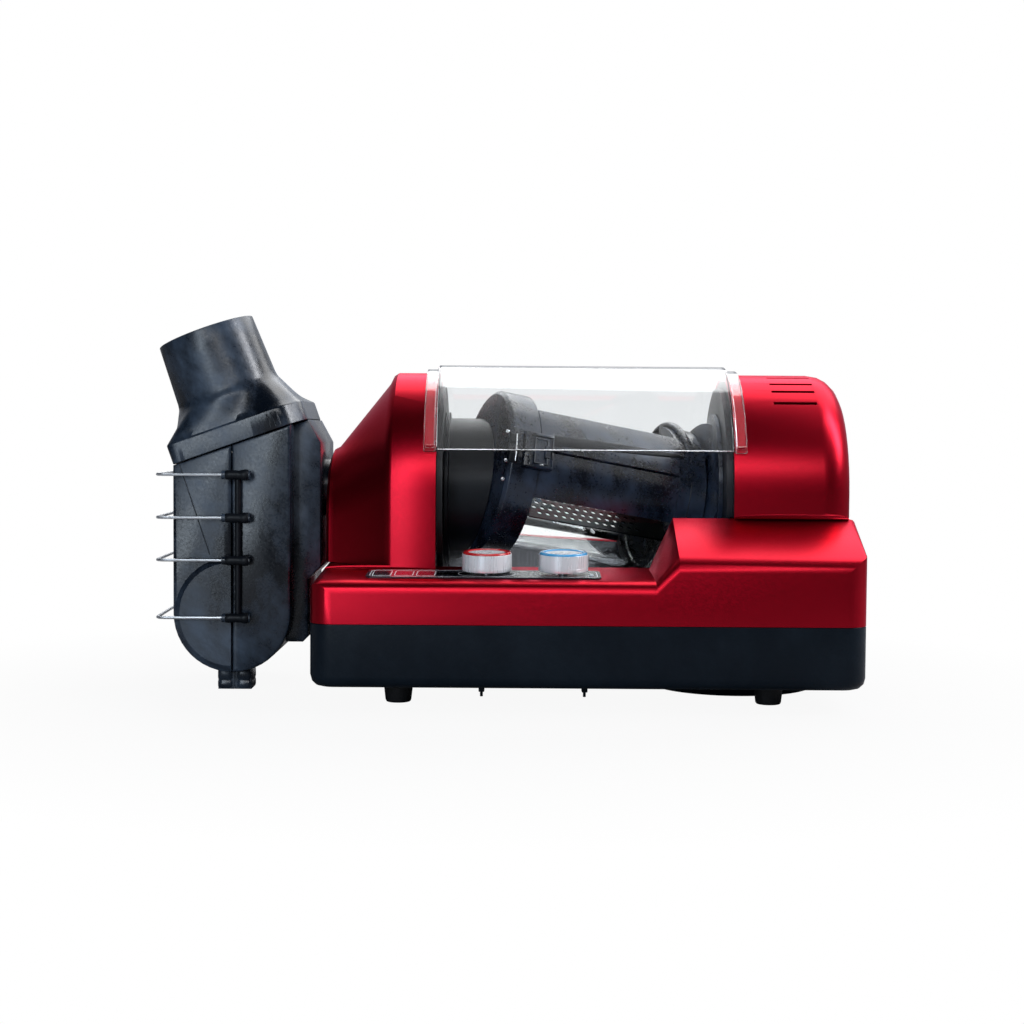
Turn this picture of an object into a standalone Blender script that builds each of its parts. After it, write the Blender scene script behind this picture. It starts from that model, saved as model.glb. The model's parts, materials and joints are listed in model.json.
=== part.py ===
# Home coffee bean roaster with a tilted glass drum, a hinged clear cover
# and a pull-off chaff collector. Metres, +Z up, +Y to the back, X to the right.
# The origin is on the floor under the middle of the whole object.

import math

import bmesh
import bpy
from mathutils import Matrix, Vector

# Clearances
FIT = 0.0003
RUNNING = 0.0004
OVERRUN = 0.004
HAIR = 0.00005

# Base
BASE_LENGTH = 0.376
BASE_DEPTH = 0.230
FOOT_HEIGHT = 0.015
SEAM_Z = 0.058
BASE_CORNER = 0.016
BASE_EDGE = 0.008
WALL = 0.003

# Deck and fascia block
DECK_FRONT_Z = 0.0872
DECK_RISE = 0.0134
DECK_ROUND = 0.0087
DECK_REAR_ROUND = 0.004
BLOCK_FRONT_Z = 0.1010
BLOCK_TOP_Z = 0.128
BLOCK_SLOPE_DEPTH = 0.058
BLOCK_ROUND = 0.007
BLOCK_LEAD = 0.0586
BLOCK_FLANK = 0.0155
LEDGE_DEPTH = 0.066

# Towers, which carry the drum between them
AXIS_BACK = 0.144
AXIS_Z = 0.145
TOWER_R = 0.086
TOWER_WALL = 0.003
LEFT_WALL_IN = 0.0826
RIGHT_TOWER_LENGTH = 0.0844
LEFT_ARCH_LENGTH = 0.0310
SHOULDER_ROUND = 0.0060
LEFT_END_REACH = 0.0806
LEFT_END_R = 0.050
LEFT_END_DROP = 0.023
RIGHT_ROUND = 0.022
WALL_DISC_R = 0.076
WALL_DISC_T = 0.004
VENT_LENGTH = 0.031
VENT_WIDTH = 0.0028
VENT_INSET = 0.0195
VENT_ANGLES = (76.0, 66.0, 58.0, 48.5)

# Well under the drum
WELL_R = 0.0863
LINER_T = 0.0010
LINER_SUNK = 0.0006

# Clear safety cover
COVER_T = 0.0026
COVER_STEP = 0.0030
FLANGE_WIDTH = 0.0092
COVER_FRONT_ANGLE = 19.3
COVER_REAR_ANGLE = 6.5
COVER_HINGE_R = 0.081
COVER_EAR_R = 0.0044
COVER_EAR_T = 0.0036
COVER_PIN_R = 0.0015
COVER_BEAD_R = 0.0028

# Tilted drum
DRUM_TILT = 20.4
DRUM_PHASE = -30.2
GLASS_R = 0.052
GLASS_T = 0.0025
LID_DEPTH = 0.019
LID_WALL_GAP = 0.01047
LID_R = 0.060
LID_PLATE_T = 0.004
CAP_R = 0.0585
CAP_DEPTH = 0.024
HUB_FLANGE_R = 0.057
HUB_FLANGE_T = 0.003
HUB_BODY_R = 0.0525
RIGHT_HUB_R = 0.0500
AIR_BORE_R = 0.0170
STUB_R = 0.0240
STUB_LENGTH = 0.0184
CAGE_R = 0.0548
CAGE_T = 0.0034
GRIP_T = 0.0052
CAGE_LOW_ANGLE = -12.0
CAGE_SPLIT_ANGLE = 22.0
CAGE_TOP_ANGLE = 57.0
SPINE_R = 0.0036
SPINE_ANGLE = 215.0
VANE_LID_GAP = 0.009
VANE_WIDTH = 0.034
VANE_T = 0.0012
VANE_TILT = 32.0
VANE_DROP = 0.0175
VANE_BACK = 0.006
VANE_HOLE_R = 0.0021
VANE_PITCH = 0.0066

# Latch on the drum's rim
LATCH_LENGTH = 0.022
LATCH_WIDTH = 0.026
LATCH_HEIGHT = 0.0050
LATCH_SEAT_R = 0.0573
LATCH_SET_IN = 0.0020
LATCH_ANGLE = 20.0
BAIL_REACH = 0.0095
BAIL_WIDTH = 0.0180
BAIL_WIRE_R = 0.0009

# Drive
GEAR_TEETH = 48
PINION_TEETH = 12
GEAR_MODULE = 0.00125
GEAR_WIDTH = 0.0070
PINION_BORE_R = 0.0025
PINION_ANGLE = 200.0
MOTOR_R = 0.0170
MOTOR_LENGTH = 0.038

# Knobs
KNOB_R = 0.0170
KNOB_HEIGHT = 0.0125
KNOB_FLOAT = 0.0028
KNOB_TRAVEL = 0.0020
KNOB_BACK = 0.0330
TEMPERATURE_SHARE = 0.51116
TIMER_SHARE = 0.73605
RING_T = 0.0018
RING_WIDTH = 0.0022
SHAFT_R = 0.0030
ENCODER_SIDE = 0.0120
ENCODER_HEIGHT = 0.0070
PLUNGER_R = 0.0042

# Control label and its window
OVERLAY_LENGTH_SHARE = 0.68670
OVERLAY_WIDTH = 0.036
OVERLAY_T = 0.0008
OVERLAY_START_SHARE = 0.15880
OVERLAY_BACK = 0.0150
OVERLAY_CORNER = 0.0040
WINDOW_LENGTH = 0.0260
WINDOW_WIDTH = 0.0130
WINDOW_SHARE = 0.35408

# Feet and underside
FOOT_R = 0.0105
FOOT_TAPER = 0.0015
FOOT_LEFT_IN = 0.058
FOOT_RIGHT_INSET = 0.061
FOOT_FRONT_BACK = 0.045
FOOT_REAR_INSET = 0.025
GRILLE_R = 0.062
GRILLE_DROP = 0.0052
GRILLE_T = 0.0016
GRILLE_SLOTS = 16
GRILLE_SLOT_WIDTH = 0.0045
HOOK_INS = (0.1160, 0.1865)
HOOK_DROP = 0.0050
HOOK_T = 0.0040
HOOK_BACK = 0.0240
HOOK_LENGTH = 0.0080

# Blower and hot air path
BLOWER_INSET = 0.077
BLOWER_BACK = 0.130
BLOWER_FLOOR = 0.0045
BLOWER_R = 0.0440
BLOWER_GROW = 0.0080
BLOWER_HEIGHT = 0.0240
BLOWER_WALL = 0.0025
BLOWER_INLET_R = 0.0230
IMPELLER_R = 0.0380
IMPELLER_HEIGHT = 0.0150
IMPELLER_BLADES = 12
BLADE_T = 0.0016
BLOWER_MOTOR_R = 0.0160
BLOWER_MOTOR_HEIGHT = 0.0150
SPINDLE_R = 0.0025
DUCT_R = 0.0170
DUCT_T = 0.0020
DUCT_INSET = 0.0310
DUCT_BEND = 0.0240
HEATER_LENGTH = 0.0500
HEATER_RIBS = 5
EXHAUST_R = 0.0240
EXHAUST_T = 0.0020

# Electrics
BOARD_LENGTH = 0.1100
BOARD_WIDTH = 0.0400
BOARD_T = 0.0016
PROBE_R = 0.0020
PROBE_LENGTH = 0.0330
PROBE_HEAD_R = 0.0045
INLET_LENGTH = 0.0280
INLET_HEIGHT = 0.0220
INLET_DEPTH = 0.0180
INLET_IN = 0.0480

# Chaff collector, which plugs into the left end
SEAM_OUT = 0.0640
COLLECTOR_R = 0.0420
COLLECTOR_BOTTOM_Z = 0.0560
COLLECTOR_BACK = 0.082
COLLECTOR_DEPTH = 0.118
COLLECTOR_WALL = 0.0025
COLLECTOR_EDGE = 0.0040
PLENUM_OUT = 0.0024
PLENUM_FRONT_INSET = 0.018
PLENUM_REAR_INSET = 0.012
PLENUM_LOW_Z = 0.034
PLENUM_STEP_Z = 0.080
PLENUM_STEP = 0.0090
PLENUM_CHAMFER = 0.0200
LID_SLOPE = 19.5
LID_LINE_Z = 0.1772
SPIGOT_T = 0.0022
SPIGOT_REACH = 0.0120
HOOD_LIP = 0.0022
HOOD_BAND = 0.0150
CHIMNEY_R = 0.0375
CHIMNEY_TAPER = 0.0018
CHIMNEY_LENGTH = 0.0486
CHIMNEY_TILT = 20.5
CHIMNEY_T = 0.0025
CHIMNEY_OUT = 0.0722
CHIMNEY_SET_BACK = 0.040
CHIMNEY_BASE_Z = 0.2134
SCREEN_T = 0.0012
HOOD_SIDES = 36
WIRE_R = 0.0011
WIRE_REACH = 0.0530
WIRE_SPLAY = 0.0040
WIRE_STAND = 0.0055
WIRE_BEND = 0.0060
WIRE_HEIGHTS = (0.1557, 0.1251, 0.0948, 0.0537)
CLIP_R = 0.0030
CLIP_LENGTH = 0.0200
CLIP_REAR_INSET = 0.0150
BOSS_LIFT = 0.0030
KNUCKLE_R = 0.0035
KNUCKLE_SHARES = (0.0, 0.28, 0.72, 1.0)
KNUCKLE_SPAN = 0.090
HINGE_PIN_R = 0.0014
BEAD_LENGTH_SHARE = 0.8
CLAW_R_SHARE = 0.8
CLAW_FRONT_SHARE = 0.25
BAIL_PIVOT_SHARE = 0.3
BAIL_GROOVE_SHARE = 2.8
BLADE_REACH_SHARE = 0.72
HEATER_NECK_SHARE = 0.55
HEATER_RIB_SHARE = 0.6
BOSS_FACE_SHARE = 0.88
BOSS_FOOT_SHARE = 0.97
CLIP_POST_SHARE = 0.9
SHOULDER_SHARE = 0.55
SHOULDER_LIFT_SHARE = 1.25
SHOULDER_SHRINK_SHARE = 0.94
SHOULDER_RING_SHARE = 1.08
COLLAR_SHARE = 1.02
COLLAR_HEIGHT_SHARE = 0.08
SCREEN_HEIGHT_SHARE = 0.3
SCREEN_HOLE_SHARE = 0.12
SCREEN_RING_SHARES = ((0.27, 5), (0.68, 13))
BLADE_SHARES = ((-0.25, -0.12), (0.0, 0.12), (0.25, -0.12))
BLADE_HEIGHT_SHARE = 1.4
TOOTH_WIDTH_SHARE = 0.9
TOOTH_ROOT_SHARE = 1.15
TOOTH_TIP_SHARE = 0.9
TOOTH_FOOT_SHARE = 1.55
TOOTH_LAND_SHARE = 0.5
CONE_WALL_SHARE = 0.9
RETURN_SHARE = 0.5
COLLECTOR_FOOT_WIDTH = 0.0240
COLLECTOR_FOOT_DEPTH = 0.0200
COLLECTOR_FOOT_SET_BACK = 0.014

# Places worked out from the sizes above
RIGHT_WALL_IN = BASE_LENGTH - RIGHT_TOWER_LENGTH
BLOCK_FOOT_IN = RIGHT_WALL_IN - BLOCK_LEAD
BLOCK_TOP_IN = BLOCK_FOOT_IN + BLOCK_FLANK
BLOWER_IN = BASE_LENGTH - BLOWER_INSET
DUCT_IN = BASE_LENGTH - DUCT_INSET
FOOT_RIGHT_IN = BASE_LENGTH - FOOT_RIGHT_INSET
FOOT_REAR_BACK = BASE_DEPTH - FOOT_REAR_INSET
TEMPERATURE_IN = BLOCK_FOOT_IN * TEMPERATURE_SHARE
TIMER_IN = BLOCK_FOOT_IN * TIMER_SHARE
OVERLAY_LENGTH = BLOCK_FOOT_IN * OVERLAY_LENGTH_SHARE
OVERLAY_IN = BLOCK_FOOT_IN * OVERLAY_START_SHARE
WINDOW_IN = BLOCK_FOOT_IN * WINDOW_SHARE
PLENUM_BACK = COLLECTOR_BACK + PLENUM_FRONT_INSET
PLENUM_DEPTH = COLLECTOR_DEPTH - PLENUM_FRONT_INSET - PLENUM_REAR_INSET
CHIMNEY_BACK = COLLECTOR_BACK + CHIMNEY_SET_BACK
COLLECTOR_FOOT_BACK = COLLECTOR_BACK + COLLECTOR_FOOT_SET_BACK
CHIMNEY_LEAN = math.radians(CHIMNEY_TILT)
RIM_R = CHIMNEY_R - CHIMNEY_TAPER
SPIGOT_R = EXHAUST_R - EXHAUST_T - FIT
HEATER_R = (DUCT_R - DUCT_T) * math.cos(math.pi / 12) - FIT
LID_RIM_T = LID_R - GLASS_R - FIT
CAP_RIM_T = CAP_R - GLASS_R - FIT
LEFT_REACH = (CHIMNEY_OUT + CHIMNEY_LENGTH * math.sin(CHIMNEY_LEAN)
              + RIM_R * math.cos(CHIMNEY_LEAN))
COVER_OUTER = TOWER_R + FIT + COVER_STEP + COVER_T
REAR_REACH = AXIS_BACK + COVER_OUTER * math.cos(math.radians(COVER_REAR_ANGLE))
LEFT = LEFT_REACH - (BASE_LENGTH + LEFT_REACH) / 2
RIGHT = LEFT + BASE_LENGTH
FRONT = -REAR_REACH / 2
BACK = FRONT + BASE_DEPTH
AXIS_Y = FRONT + AXIS_BACK
LEFT_WALL_X = LEFT + LEFT_WALL_IN
RIGHT_WALL_X = LEFT + RIGHT_WALL_IN
DRUM_X = (LEFT_WALL_X + RIGHT_WALL_X) / 2
HUB_OUT = (RIGHT_WALL_X - LEFT_WALL_X) / 2 - WALL_DISC_T - RUNNING
TILT = math.radians(DRUM_TILT)
BAY_HALF = (RIGHT_WALL_X - LEFT_WALL_X) / 2
LID_FACE = (BAY_HALF - LID_WALL_GAP - LID_R * math.sin(TILT)) / math.cos(TILT)
GLASS_HALF = LID_FACE - LID_DEPTH
VANE_LEFT = VANE_LID_GAP - GLASS_HALF
LATCH_MIDDLE = LATCH_SET_IN - GLASS_HALF
PHASE = math.radians(DRUM_PHASE)
TAU = 2 * math.pi

UPRIGHT = (0.0, 0.0, 0.0)
FACING_FRONT = (math.pi / 2, 0.0, 0.0)
FACING_RIGHT = (math.pi / 2, 0.0, math.pi / 2)
AXLE = (0.0, math.pi / 2, 0.0)

for old in list(bpy.data.objects):
    bpy.data.objects.remove(old, do_unlink=True)

PARTS = bpy.data.collections.new("coffee_roaster")
CUTTERS = bpy.data.collections.new("roaster_cutters")
bpy.context.scene.collection.children.link(PARTS)
bpy.context.scene.collection.children.link(CUTTERS)


# Materials

def finish(name, colour, roughness, metallic=0.0, clear=0.0):
    """One Principled material with a base colour, a gloss and, for glass, a transmission."""
    material = bpy.data.materials.new(name)
    material.use_nodes = True
    shader = material.node_tree.nodes["Principled BSDF"]
    shader.inputs["Base Color"].default_value = (*colour, 1.0)
    shader.inputs["Roughness"].default_value = roughness
    shader.inputs["Metallic"].default_value = metallic
    shader.inputs["Transmission Weight"].default_value = clear
    material.diffuse_color = (*colour, 1.0 - clear / 2)
    return material


FINISHES = {
    "red": ((0.36, 0.004, 0.012), 0.28, 0.55),
    "black": ((0.012, 0.015, 0.019), 0.55, 0.0),
    "satin_black": ((0.016, 0.020, 0.026), 0.36, 0.1),
    "rubber": ((0.010, 0.010, 0.011), 0.85, 0.0),
    "steel": ((0.62, 0.63, 0.64), 0.22, 1.0),
    "aluminium": ((0.70, 0.71, 0.73), 0.30, 1.0),
    "grey": ((0.30, 0.33, 0.36), 0.45, 0.2),
    "clear": ((0.90, 0.94, 0.95), 0.04, 0.0, 0.95),
    "label": ((0.02, 0.025, 0.04), 0.35, 0.0),
    "window": ((0.01, 0.012, 0.03), 0.08, 0.0),
    "heat": ((0.65, 0.06, 0.05), 0.4, 0.0),
    "time": ((0.05, 0.32, 0.62), 0.4, 0.0),
    "board": ((0.02, 0.20, 0.08), 0.5, 0.0),
    "ceramic": ((0.78, 0.74, 0.66), 0.7, 0.0),
    "nylon": ((0.72, 0.70, 0.62), 0.5, 0.0),
}


# Building blocks

def add_piece(name, mesh, look, location, rotation, parent, cutter):
    """Put a mesh in the scene as a named part with its own material, or as a hidden cutter."""
    piece = bpy.data.objects.new(name, mesh)
    if cutter:
        CUTTERS.objects.link(piece)
        piece.hide_render = True
        piece.display_type = "WIRE"
    else:
        PARTS.objects.link(piece)
        mesh.materials.clear()
        mesh.materials.append(finish(name + "_finish", *FINISHES[look]))
    piece.parent = parent
    piece.location = location
    piece.rotation_euler = rotation
    return piece


def from_bmesh(name, shape, look="black", at=(0, 0, 0), turn=UPRIGHT, parent=None, cutter=False):
    mesh = bpy.data.meshes.new(name)
    shape.to_mesh(mesh)
    shape.free()
    return add_piece(name, mesh, look, at, turn, parent, cutter)


def block(name, size, middle, look="black", edge=0.0, turn=UPRIGHT, parent=None, cutter=False):
    """A box of the given size about its middle, with an optional rounded edge."""
    shape = bmesh.new()
    bmesh.ops.create_cube(shape, size=1, matrix=Matrix.Diagonal((*size, 1)))
    if edge > 0:
        bmesh.ops.bevel(shape, geom=shape.edges[:], offset=edge, segments=2, profile=0.5,
                        affect="EDGES")
    return from_bmesh(name, shape, look, middle, turn, parent, cutter)


def cylinder(name, radius, length, middle, turn=UPRIGHT, look="black", sides=32, tip=None,
             parent=None, cutter=False):
    """A cylinder or cone about its middle, along its local Z."""
    shape = bmesh.new()
    bmesh.ops.create_cone(shape, cap_ends=True, segments=sides, radius1=radius,
                          radius2=radius if tip is None else tip, depth=length)
    return smooth(from_bmesh(name, shape, look, middle, turn, parent, cutter))


def turned(name, profile, look="black", at=(0, 0, 0), turn=UPRIGHT, ring=False, steps=32,
           parent=None, cutter=False):
    """Turn a profile of (radius, height) points, outer side top to bottom, about local Z."""
    shape = bmesh.new()
    points = [shape.verts.new((radius, 0, height)) for radius, height in profile]
    pairs = list(zip(points, points[1:]))
    if ring:
        pairs.append((points[-1], points[0]))
    for pair in pairs:
        shape.edges.new(pair)
    piece = from_bmesh(name, shape, look, at, turn, parent, cutter)
    screw = piece.modifiers.new("turn", "SCREW")
    screw.steps = screw.render_steps = steps
    screw.use_merge_vertices = True
    screw.merge_threshold = HAIR / 5
    screw.use_smooth_shade = True
    return piece


def ring_profile(outer, inner, low, high):
    """The closed section of a plain tube or washer."""
    return [(outer, high), (outer, low), (inner, low), (inner, high)]


def plate(name, loops, thickness, middle, turn, look="black", parent=None, cutter=False):
    """Extrude flat outlines, inner ones being holes, both ways along local Z."""
    curve = bpy.data.curves.new(name, "CURVE")
    curve.dimensions = "2D"
    curve.fill_mode = "BOTH"
    curve.extrude = thickness / 2
    for loop in loops:
        spline = curve.splines.new("POLY")
        spline.points.add(len(loop) - 1)
        for point, (across, along) in zip(spline.points, loop):
            point.co = (across, along, 0, 1)
        spline.use_cyclic_u = True
    return curve_to_piece(name, curve, look, middle, turn, parent, cutter)


def rod(name, path, radius, look="steel", at=(0, 0, 0), turn=UPRIGHT, parent=None,
        cutter=False, sides=2):
    """A round bar along a path of points."""
    curve = bpy.data.curves.new(name, "CURVE")
    curve.dimensions = "3D"
    curve.bevel_depth = radius
    curve.bevel_resolution = sides
    curve.use_fill_caps = True
    spline = curve.splines.new("POLY")
    spline.points.add(len(path) - 1)
    for point, place in zip(spline.points, path):
        point.co = (*place, 1)
    return smooth(curve_to_piece(name, curve, look, at, turn, parent, cutter))


def curve_to_piece(name, curve, look, at, turn, parent, cutter):
    """Turn a curve into a closed mesh with welded caps."""
    guide = bpy.data.objects.new(name + "_curve", curve)
    bpy.context.scene.collection.objects.link(guide)
    bpy.context.view_layer.update()
    seen = guide.evaluated_get(bpy.context.evaluated_depsgraph_get())
    mesh = bpy.data.meshes.new_from_object(seen)
    bpy.data.objects.remove(guide, do_unlink=True)
    shape = bmesh.new()
    shape.from_mesh(mesh)
    bmesh.ops.remove_doubles(shape, verts=shape.verts[:], dist=HAIR / 5)
    bmesh.ops.recalc_face_normals(shape, faces=shape.faces[:])
    shape.to_mesh(mesh)
    shape.free()
    mesh.name = name
    return add_piece(name, mesh, look, at, turn, parent, cutter)


def loft(name, sections, look="black", at=(0, 0, 0), turn=UPRIGHT, parent=None, cutter=False):
    """Skin a row of sections with equal point counts and close both ends."""
    shape = bmesh.new()
    rows = [[shape.verts.new(point) for point in section] for section in sections]
    count = len(rows[0])
    for near, far in zip(rows, rows[1:]):
        for i in range(count):
            j = (i + 1) % count
            shape.faces.new((near[i], near[j], far[j], far[i]))
    shape.faces.new(rows[0])
    shape.faces.new(rows[-1])
    bmesh.ops.recalc_face_normals(shape, faces=shape.faces[:])
    return smooth(from_bmesh(name, shape, look, at, turn, parent, cutter))


def smooth(piece, angle=35.0):
    piece.data.shade_smooth()
    piece.data.set_sharp_from_angle(angle=math.radians(angle))
    return piece


def combine(piece, tool, operation):
    boolean = piece.modifiers.new(operation.lower(), "BOOLEAN")
    boolean.operation = operation
    boolean.object = tool
    boolean.solver = "EXACT"


def cut(piece, *tools):
    for tool in tools:
        combine(piece, tool, "DIFFERENCE")


def join(piece, *tools):
    for tool in tools:
        combine(piece, tool, "UNION")


def keep(piece, tool):
    combine(piece, tool, "INTERSECT")


def arc(radius, start, end, steps, middle=(0.0, 0.0)):
    """Points on an arc, with angles in degrees."""
    points = []
    for i in range(steps + 1):
        angle = math.radians(start + (end - start) * i / steps)
        points.append((middle[0] + radius * math.cos(angle),
                       middle[1] + radius * math.sin(angle)))
    return points


def circle(radius, sides, middle=(0.0, 0.0), start=0.0):
    return arc(radius, start, start + 360.0, sides, middle)[:-1]


def rounded_outline(length, width, corner, steps=4):
    """A rectangle with round corners about the middle."""
    half_x = length / 2 - corner
    half_y = width / 2 - corner
    points = []
    for index, (x, y) in enumerate(((half_x, half_y), (-half_x, half_y),
                                    (-half_x, -half_y), (half_x, -half_y))):
        points += arc(corner, 90.0 * index, 90.0 * (index + 1), steps, (x, y))
    return points


def hang(axis, *pieces):
    """Hangs finished pieces from a joint axis, each where it stands."""
    for piece in pieces:
        piece.parent = axis
        piece.matrix_parent_inverse = Matrix.Translation(axis.location).inverted()


def empty(name, place, rotation=UPRIGHT, parent=None):
    axis = bpy.data.objects.new(name, None)
    PARTS.objects.link(axis)
    axis.empty_display_size = FIT
    axis.location = place
    axis.rotation_euler = rotation
    axis.parent = parent
    return axis


# Base tub, its feet and the air intake under it

def base_box(name, low, high, inset, edge, open_top, look="black", cutter=False):
    """The plan of the base with round corners, between two heights."""
    shape = bmesh.new()
    size = (BASE_LENGTH - 2 * inset, BASE_DEPTH - 2 * inset, high - low)
    bmesh.ops.create_cube(shape, size=1, matrix=Matrix.Diagonal((*size, 1)))
    upright = [e for e in shape.edges if abs(e.verts[0].co.z - e.verts[1].co.z) > HAIR]
    bmesh.ops.bevel(shape, geom=upright, offset=BASE_CORNER - inset, segments=5, profile=0.5,
                    affect="EDGES")
    if edge > 0:
        floor = min(vert.co.z for vert in shape.verts)
        rim = [e for e in shape.edges if all(abs(v.co.z - floor) < HAIR for v in e.verts)]
        bmesh.ops.bevel(shape, geom=rim, offset=edge, segments=3, profile=0.5, affect="EDGES")
    if open_top:
        roof = max(vert.co.z for vert in shape.verts)
        lid = [f for f in shape.faces if all(abs(v.co.z - roof) < HAIR for v in f.verts)]
        bmesh.ops.delete(shape, geom=lid, context="FACES_ONLY")
    middle = ((LEFT + RIGHT) / 2, (FRONT + BACK) / 2, (low + high) / 2)
    return smooth(from_bmesh(name, shape, look, middle, cutter=cutter))


def make_base():
    tub = base_box("base_tub", FOOT_HEIGHT, SEAM_Z, 0.0, BASE_EDGE, True)
    shell = tub.modifiers.new("wall", "SOLIDIFY")
    shell.thickness = WALL
    shell.offset = -1
    shell.use_even_offset = True
    for index, inset in enumerate(HOOK_INS):
        outline = [(0.0, HOOK_T), (0.0, -HOOK_DROP), (HOOK_LENGTH, -HOOK_DROP),
                   (HOOK_LENGTH, HOOK_T - HOOK_DROP), (HOOK_T, HOOK_T - HOOK_DROP),
                   (HOOK_T, HOOK_T)]
        hook = plate("hook_%d" % index, [outline], HOOK_T,
                     (LEFT + inset, FRONT + HOOK_BACK, FOOT_HEIGHT - HAIR), FACING_RIGHT,
                     cutter=True)
        join(tub, hook)
    fan = (LEFT + BLOWER_IN, FRONT + BLOWER_BACK, FOOT_HEIGHT)
    cut(tub, cylinder("intake_hole", GRILLE_R - GRILLE_SLOT_WIDTH - GRILLE_DROP, OVERRUN * 2,
                      fan, cutter=True))
    inlet_y = BACK - INLET_DEPTH / 2
    cut(tub, block("inlet_hole", (INLET_LENGTH + 2 * FIT, INLET_DEPTH * 2,
                                  INLET_HEIGHT + 2 * FIT),
                   (LEFT + INLET_IN, inlet_y, (FOOT_HEIGHT + SEAM_Z) / 2), cutter=True))
    height = FOOT_HEIGHT - FIT
    for side, inset in (("left", FOOT_LEFT_IN), ("right", FOOT_RIGHT_IN)):
        for row, back in (("front", FOOT_FRONT_BACK), ("rear", FOOT_REAR_BACK)):
            small = FOOT_R - FOOT_TAPER
            profile = [(0.0, height), (FOOT_R, height), (small, FOOT_TAPER),
                       (small - FOOT_TAPER / 2, 0.0), (0.0, 0.0)]
            turned("foot_%s_%s" % (row, side), profile, "rubber",
                   (LEFT + inset, FRONT + back, 0.0), steps=20)


def make_grille():
    """A dished round grille with radial slots, just under the floor of the tub."""
    top = FOOT_HEIGHT - FIT
    flat = GRILLE_R - GRILLE_DROP
    bowl = flat - GRILLE_SLOT_WIDTH
    profile = [(GRILLE_R, top), (GRILLE_R, top - GRILLE_T), (flat, top - GRILLE_DROP),
               (0.0, top - GRILLE_DROP), (0.0, top - GRILLE_DROP + GRILLE_T),
               (bowl, top - GRILLE_DROP + GRILLE_T), (flat, top)]
    spot = (LEFT + BLOWER_IN, FRONT + BLOWER_BACK, 0.0)
    grille = turned("fan_grille", profile, "black", spot, ring=True, steps=48)
    slots = bmesh.new()
    reach = bowl - GRILLE_SLOT_WIDTH * 2
    middle = GRILLE_SLOT_WIDTH * 2 + reach / 2
    for i in range(GRILLE_SLOTS):
        turn = Matrix.Rotation(TAU * i / GRILLE_SLOTS, 4, "Z")
        shift = Matrix.Translation((middle + GRILLE_SLOT_WIDTH, 0, top - GRILLE_DROP))
        scale = Matrix.Diagonal((reach - GRILLE_SLOT_WIDTH * 2, GRILLE_SLOT_WIDTH,
                                 GRILLE_DROP, 1))
        bmesh.ops.create_cube(slots, size=1, matrix=turn @ shift @ scale)
    cut(grille, from_bmesh("grille_slots", slots, at=spot, cutter=True))


# Red top housing: deck, fascia block and the shell under them

def deck_height(depth):
    """Height of the deck at a depth behind the front face, before its edges are rounded."""
    return DECK_FRONT_Z + DECK_RISE * depth / BASE_DEPTH


def block_height(depth):
    share = min(depth, BLOCK_SLOPE_DEPTH) / BLOCK_SLOPE_DEPTH
    return BLOCK_FRONT_Z + (BLOCK_TOP_Z - BLOCK_FRONT_Z) * share


def edge_drop(depth, radius):
    """How far a round edge of this radius falls at a distance from the face."""
    near = min(max(depth, 0.0), radius)
    return radius - math.sqrt(max(radius ** 2 - (radius - near) ** 2, 0.0))


def top_form(name, sunk, with_block=True):
    """The solid under the deck and the fascia block, lowered by sunk, to trim others with."""
    depths = [-OVERRUN, 0.0]
    depths += [BLOCK_ROUND * (1 - math.cos(math.radians(a))) for a in (22.5, 45.0, 67.5)]
    depths += [DECK_ROUND, BLOCK_SLOPE_DEPTH, LEDGE_DEPTH, LEDGE_DEPTH + WALL,
               BASE_DEPTH - DECK_REAR_ROUND]
    depths += [BASE_DEPTH - DECK_REAR_ROUND * (1 - math.sin(math.radians(a)))
               for a in (30.0, 60.0)]
    depths += [BASE_DEPTH, BASE_DEPTH + OVERRUN]

    def section(x, kind, drop):
        points = []
        for depth in depths:
            deck = deck_height(depth) - edge_drop(depth, DECK_ROUND)
            deck -= edge_drop(BASE_DEPTH - depth, DECK_REAR_ROUND)
            high = block_height(max(depth, 0.0)) - edge_drop(depth, BLOCK_ROUND)
            raised = kind == "block" or (kind == "ledge" and depth <= LEDGE_DEPTH)
            raised = raised and with_block
            points.append((x, FRONT + depth, (high if raised else deck) - drop - sunk))
        low = SEAM_Z - OVERRUN
        points += [(x, FRONT + depths[-1], low), (x, FRONT + depths[0], low)]
        return points

    sections = [section(LEFT - OVERRUN, "deck", DECK_ROUND)]
    for angle in (0.0, 30.0, 60.0, 90.0):
        swing = math.radians(angle)
        sections.append(section(LEFT + DECK_ROUND * (1 - math.cos(swing)), "deck",
                                DECK_ROUND * (1 - math.sin(swing))))
    sections.append(section(LEFT + BLOCK_FOOT_IN, "deck", 0.0))
    sections.append(section(LEFT + BLOCK_TOP_IN, "ledge", 0.0))
    sections.append(section(RIGHT_WALL_X - FIT, "ledge", 0.0))
    sections.append(section(RIGHT_WALL_X + FIT, "block", 0.0))
    for angle in (90.0, 60.0, 30.0, 0.0):
        swing = math.radians(angle)
        sections.append(section(RIGHT - BLOCK_ROUND / 2 * (1 - math.cos(swing)), "block",
                                BLOCK_ROUND / 2 * (1 - math.sin(swing))))
    sections.append(section(RIGHT + OVERRUN, "block", BLOCK_ROUND / 2))
    return loft(name, sections, "red", cutter=True)


def deck_tilt():
    return math.atan2(DECK_RISE, BASE_DEPTH)


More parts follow.
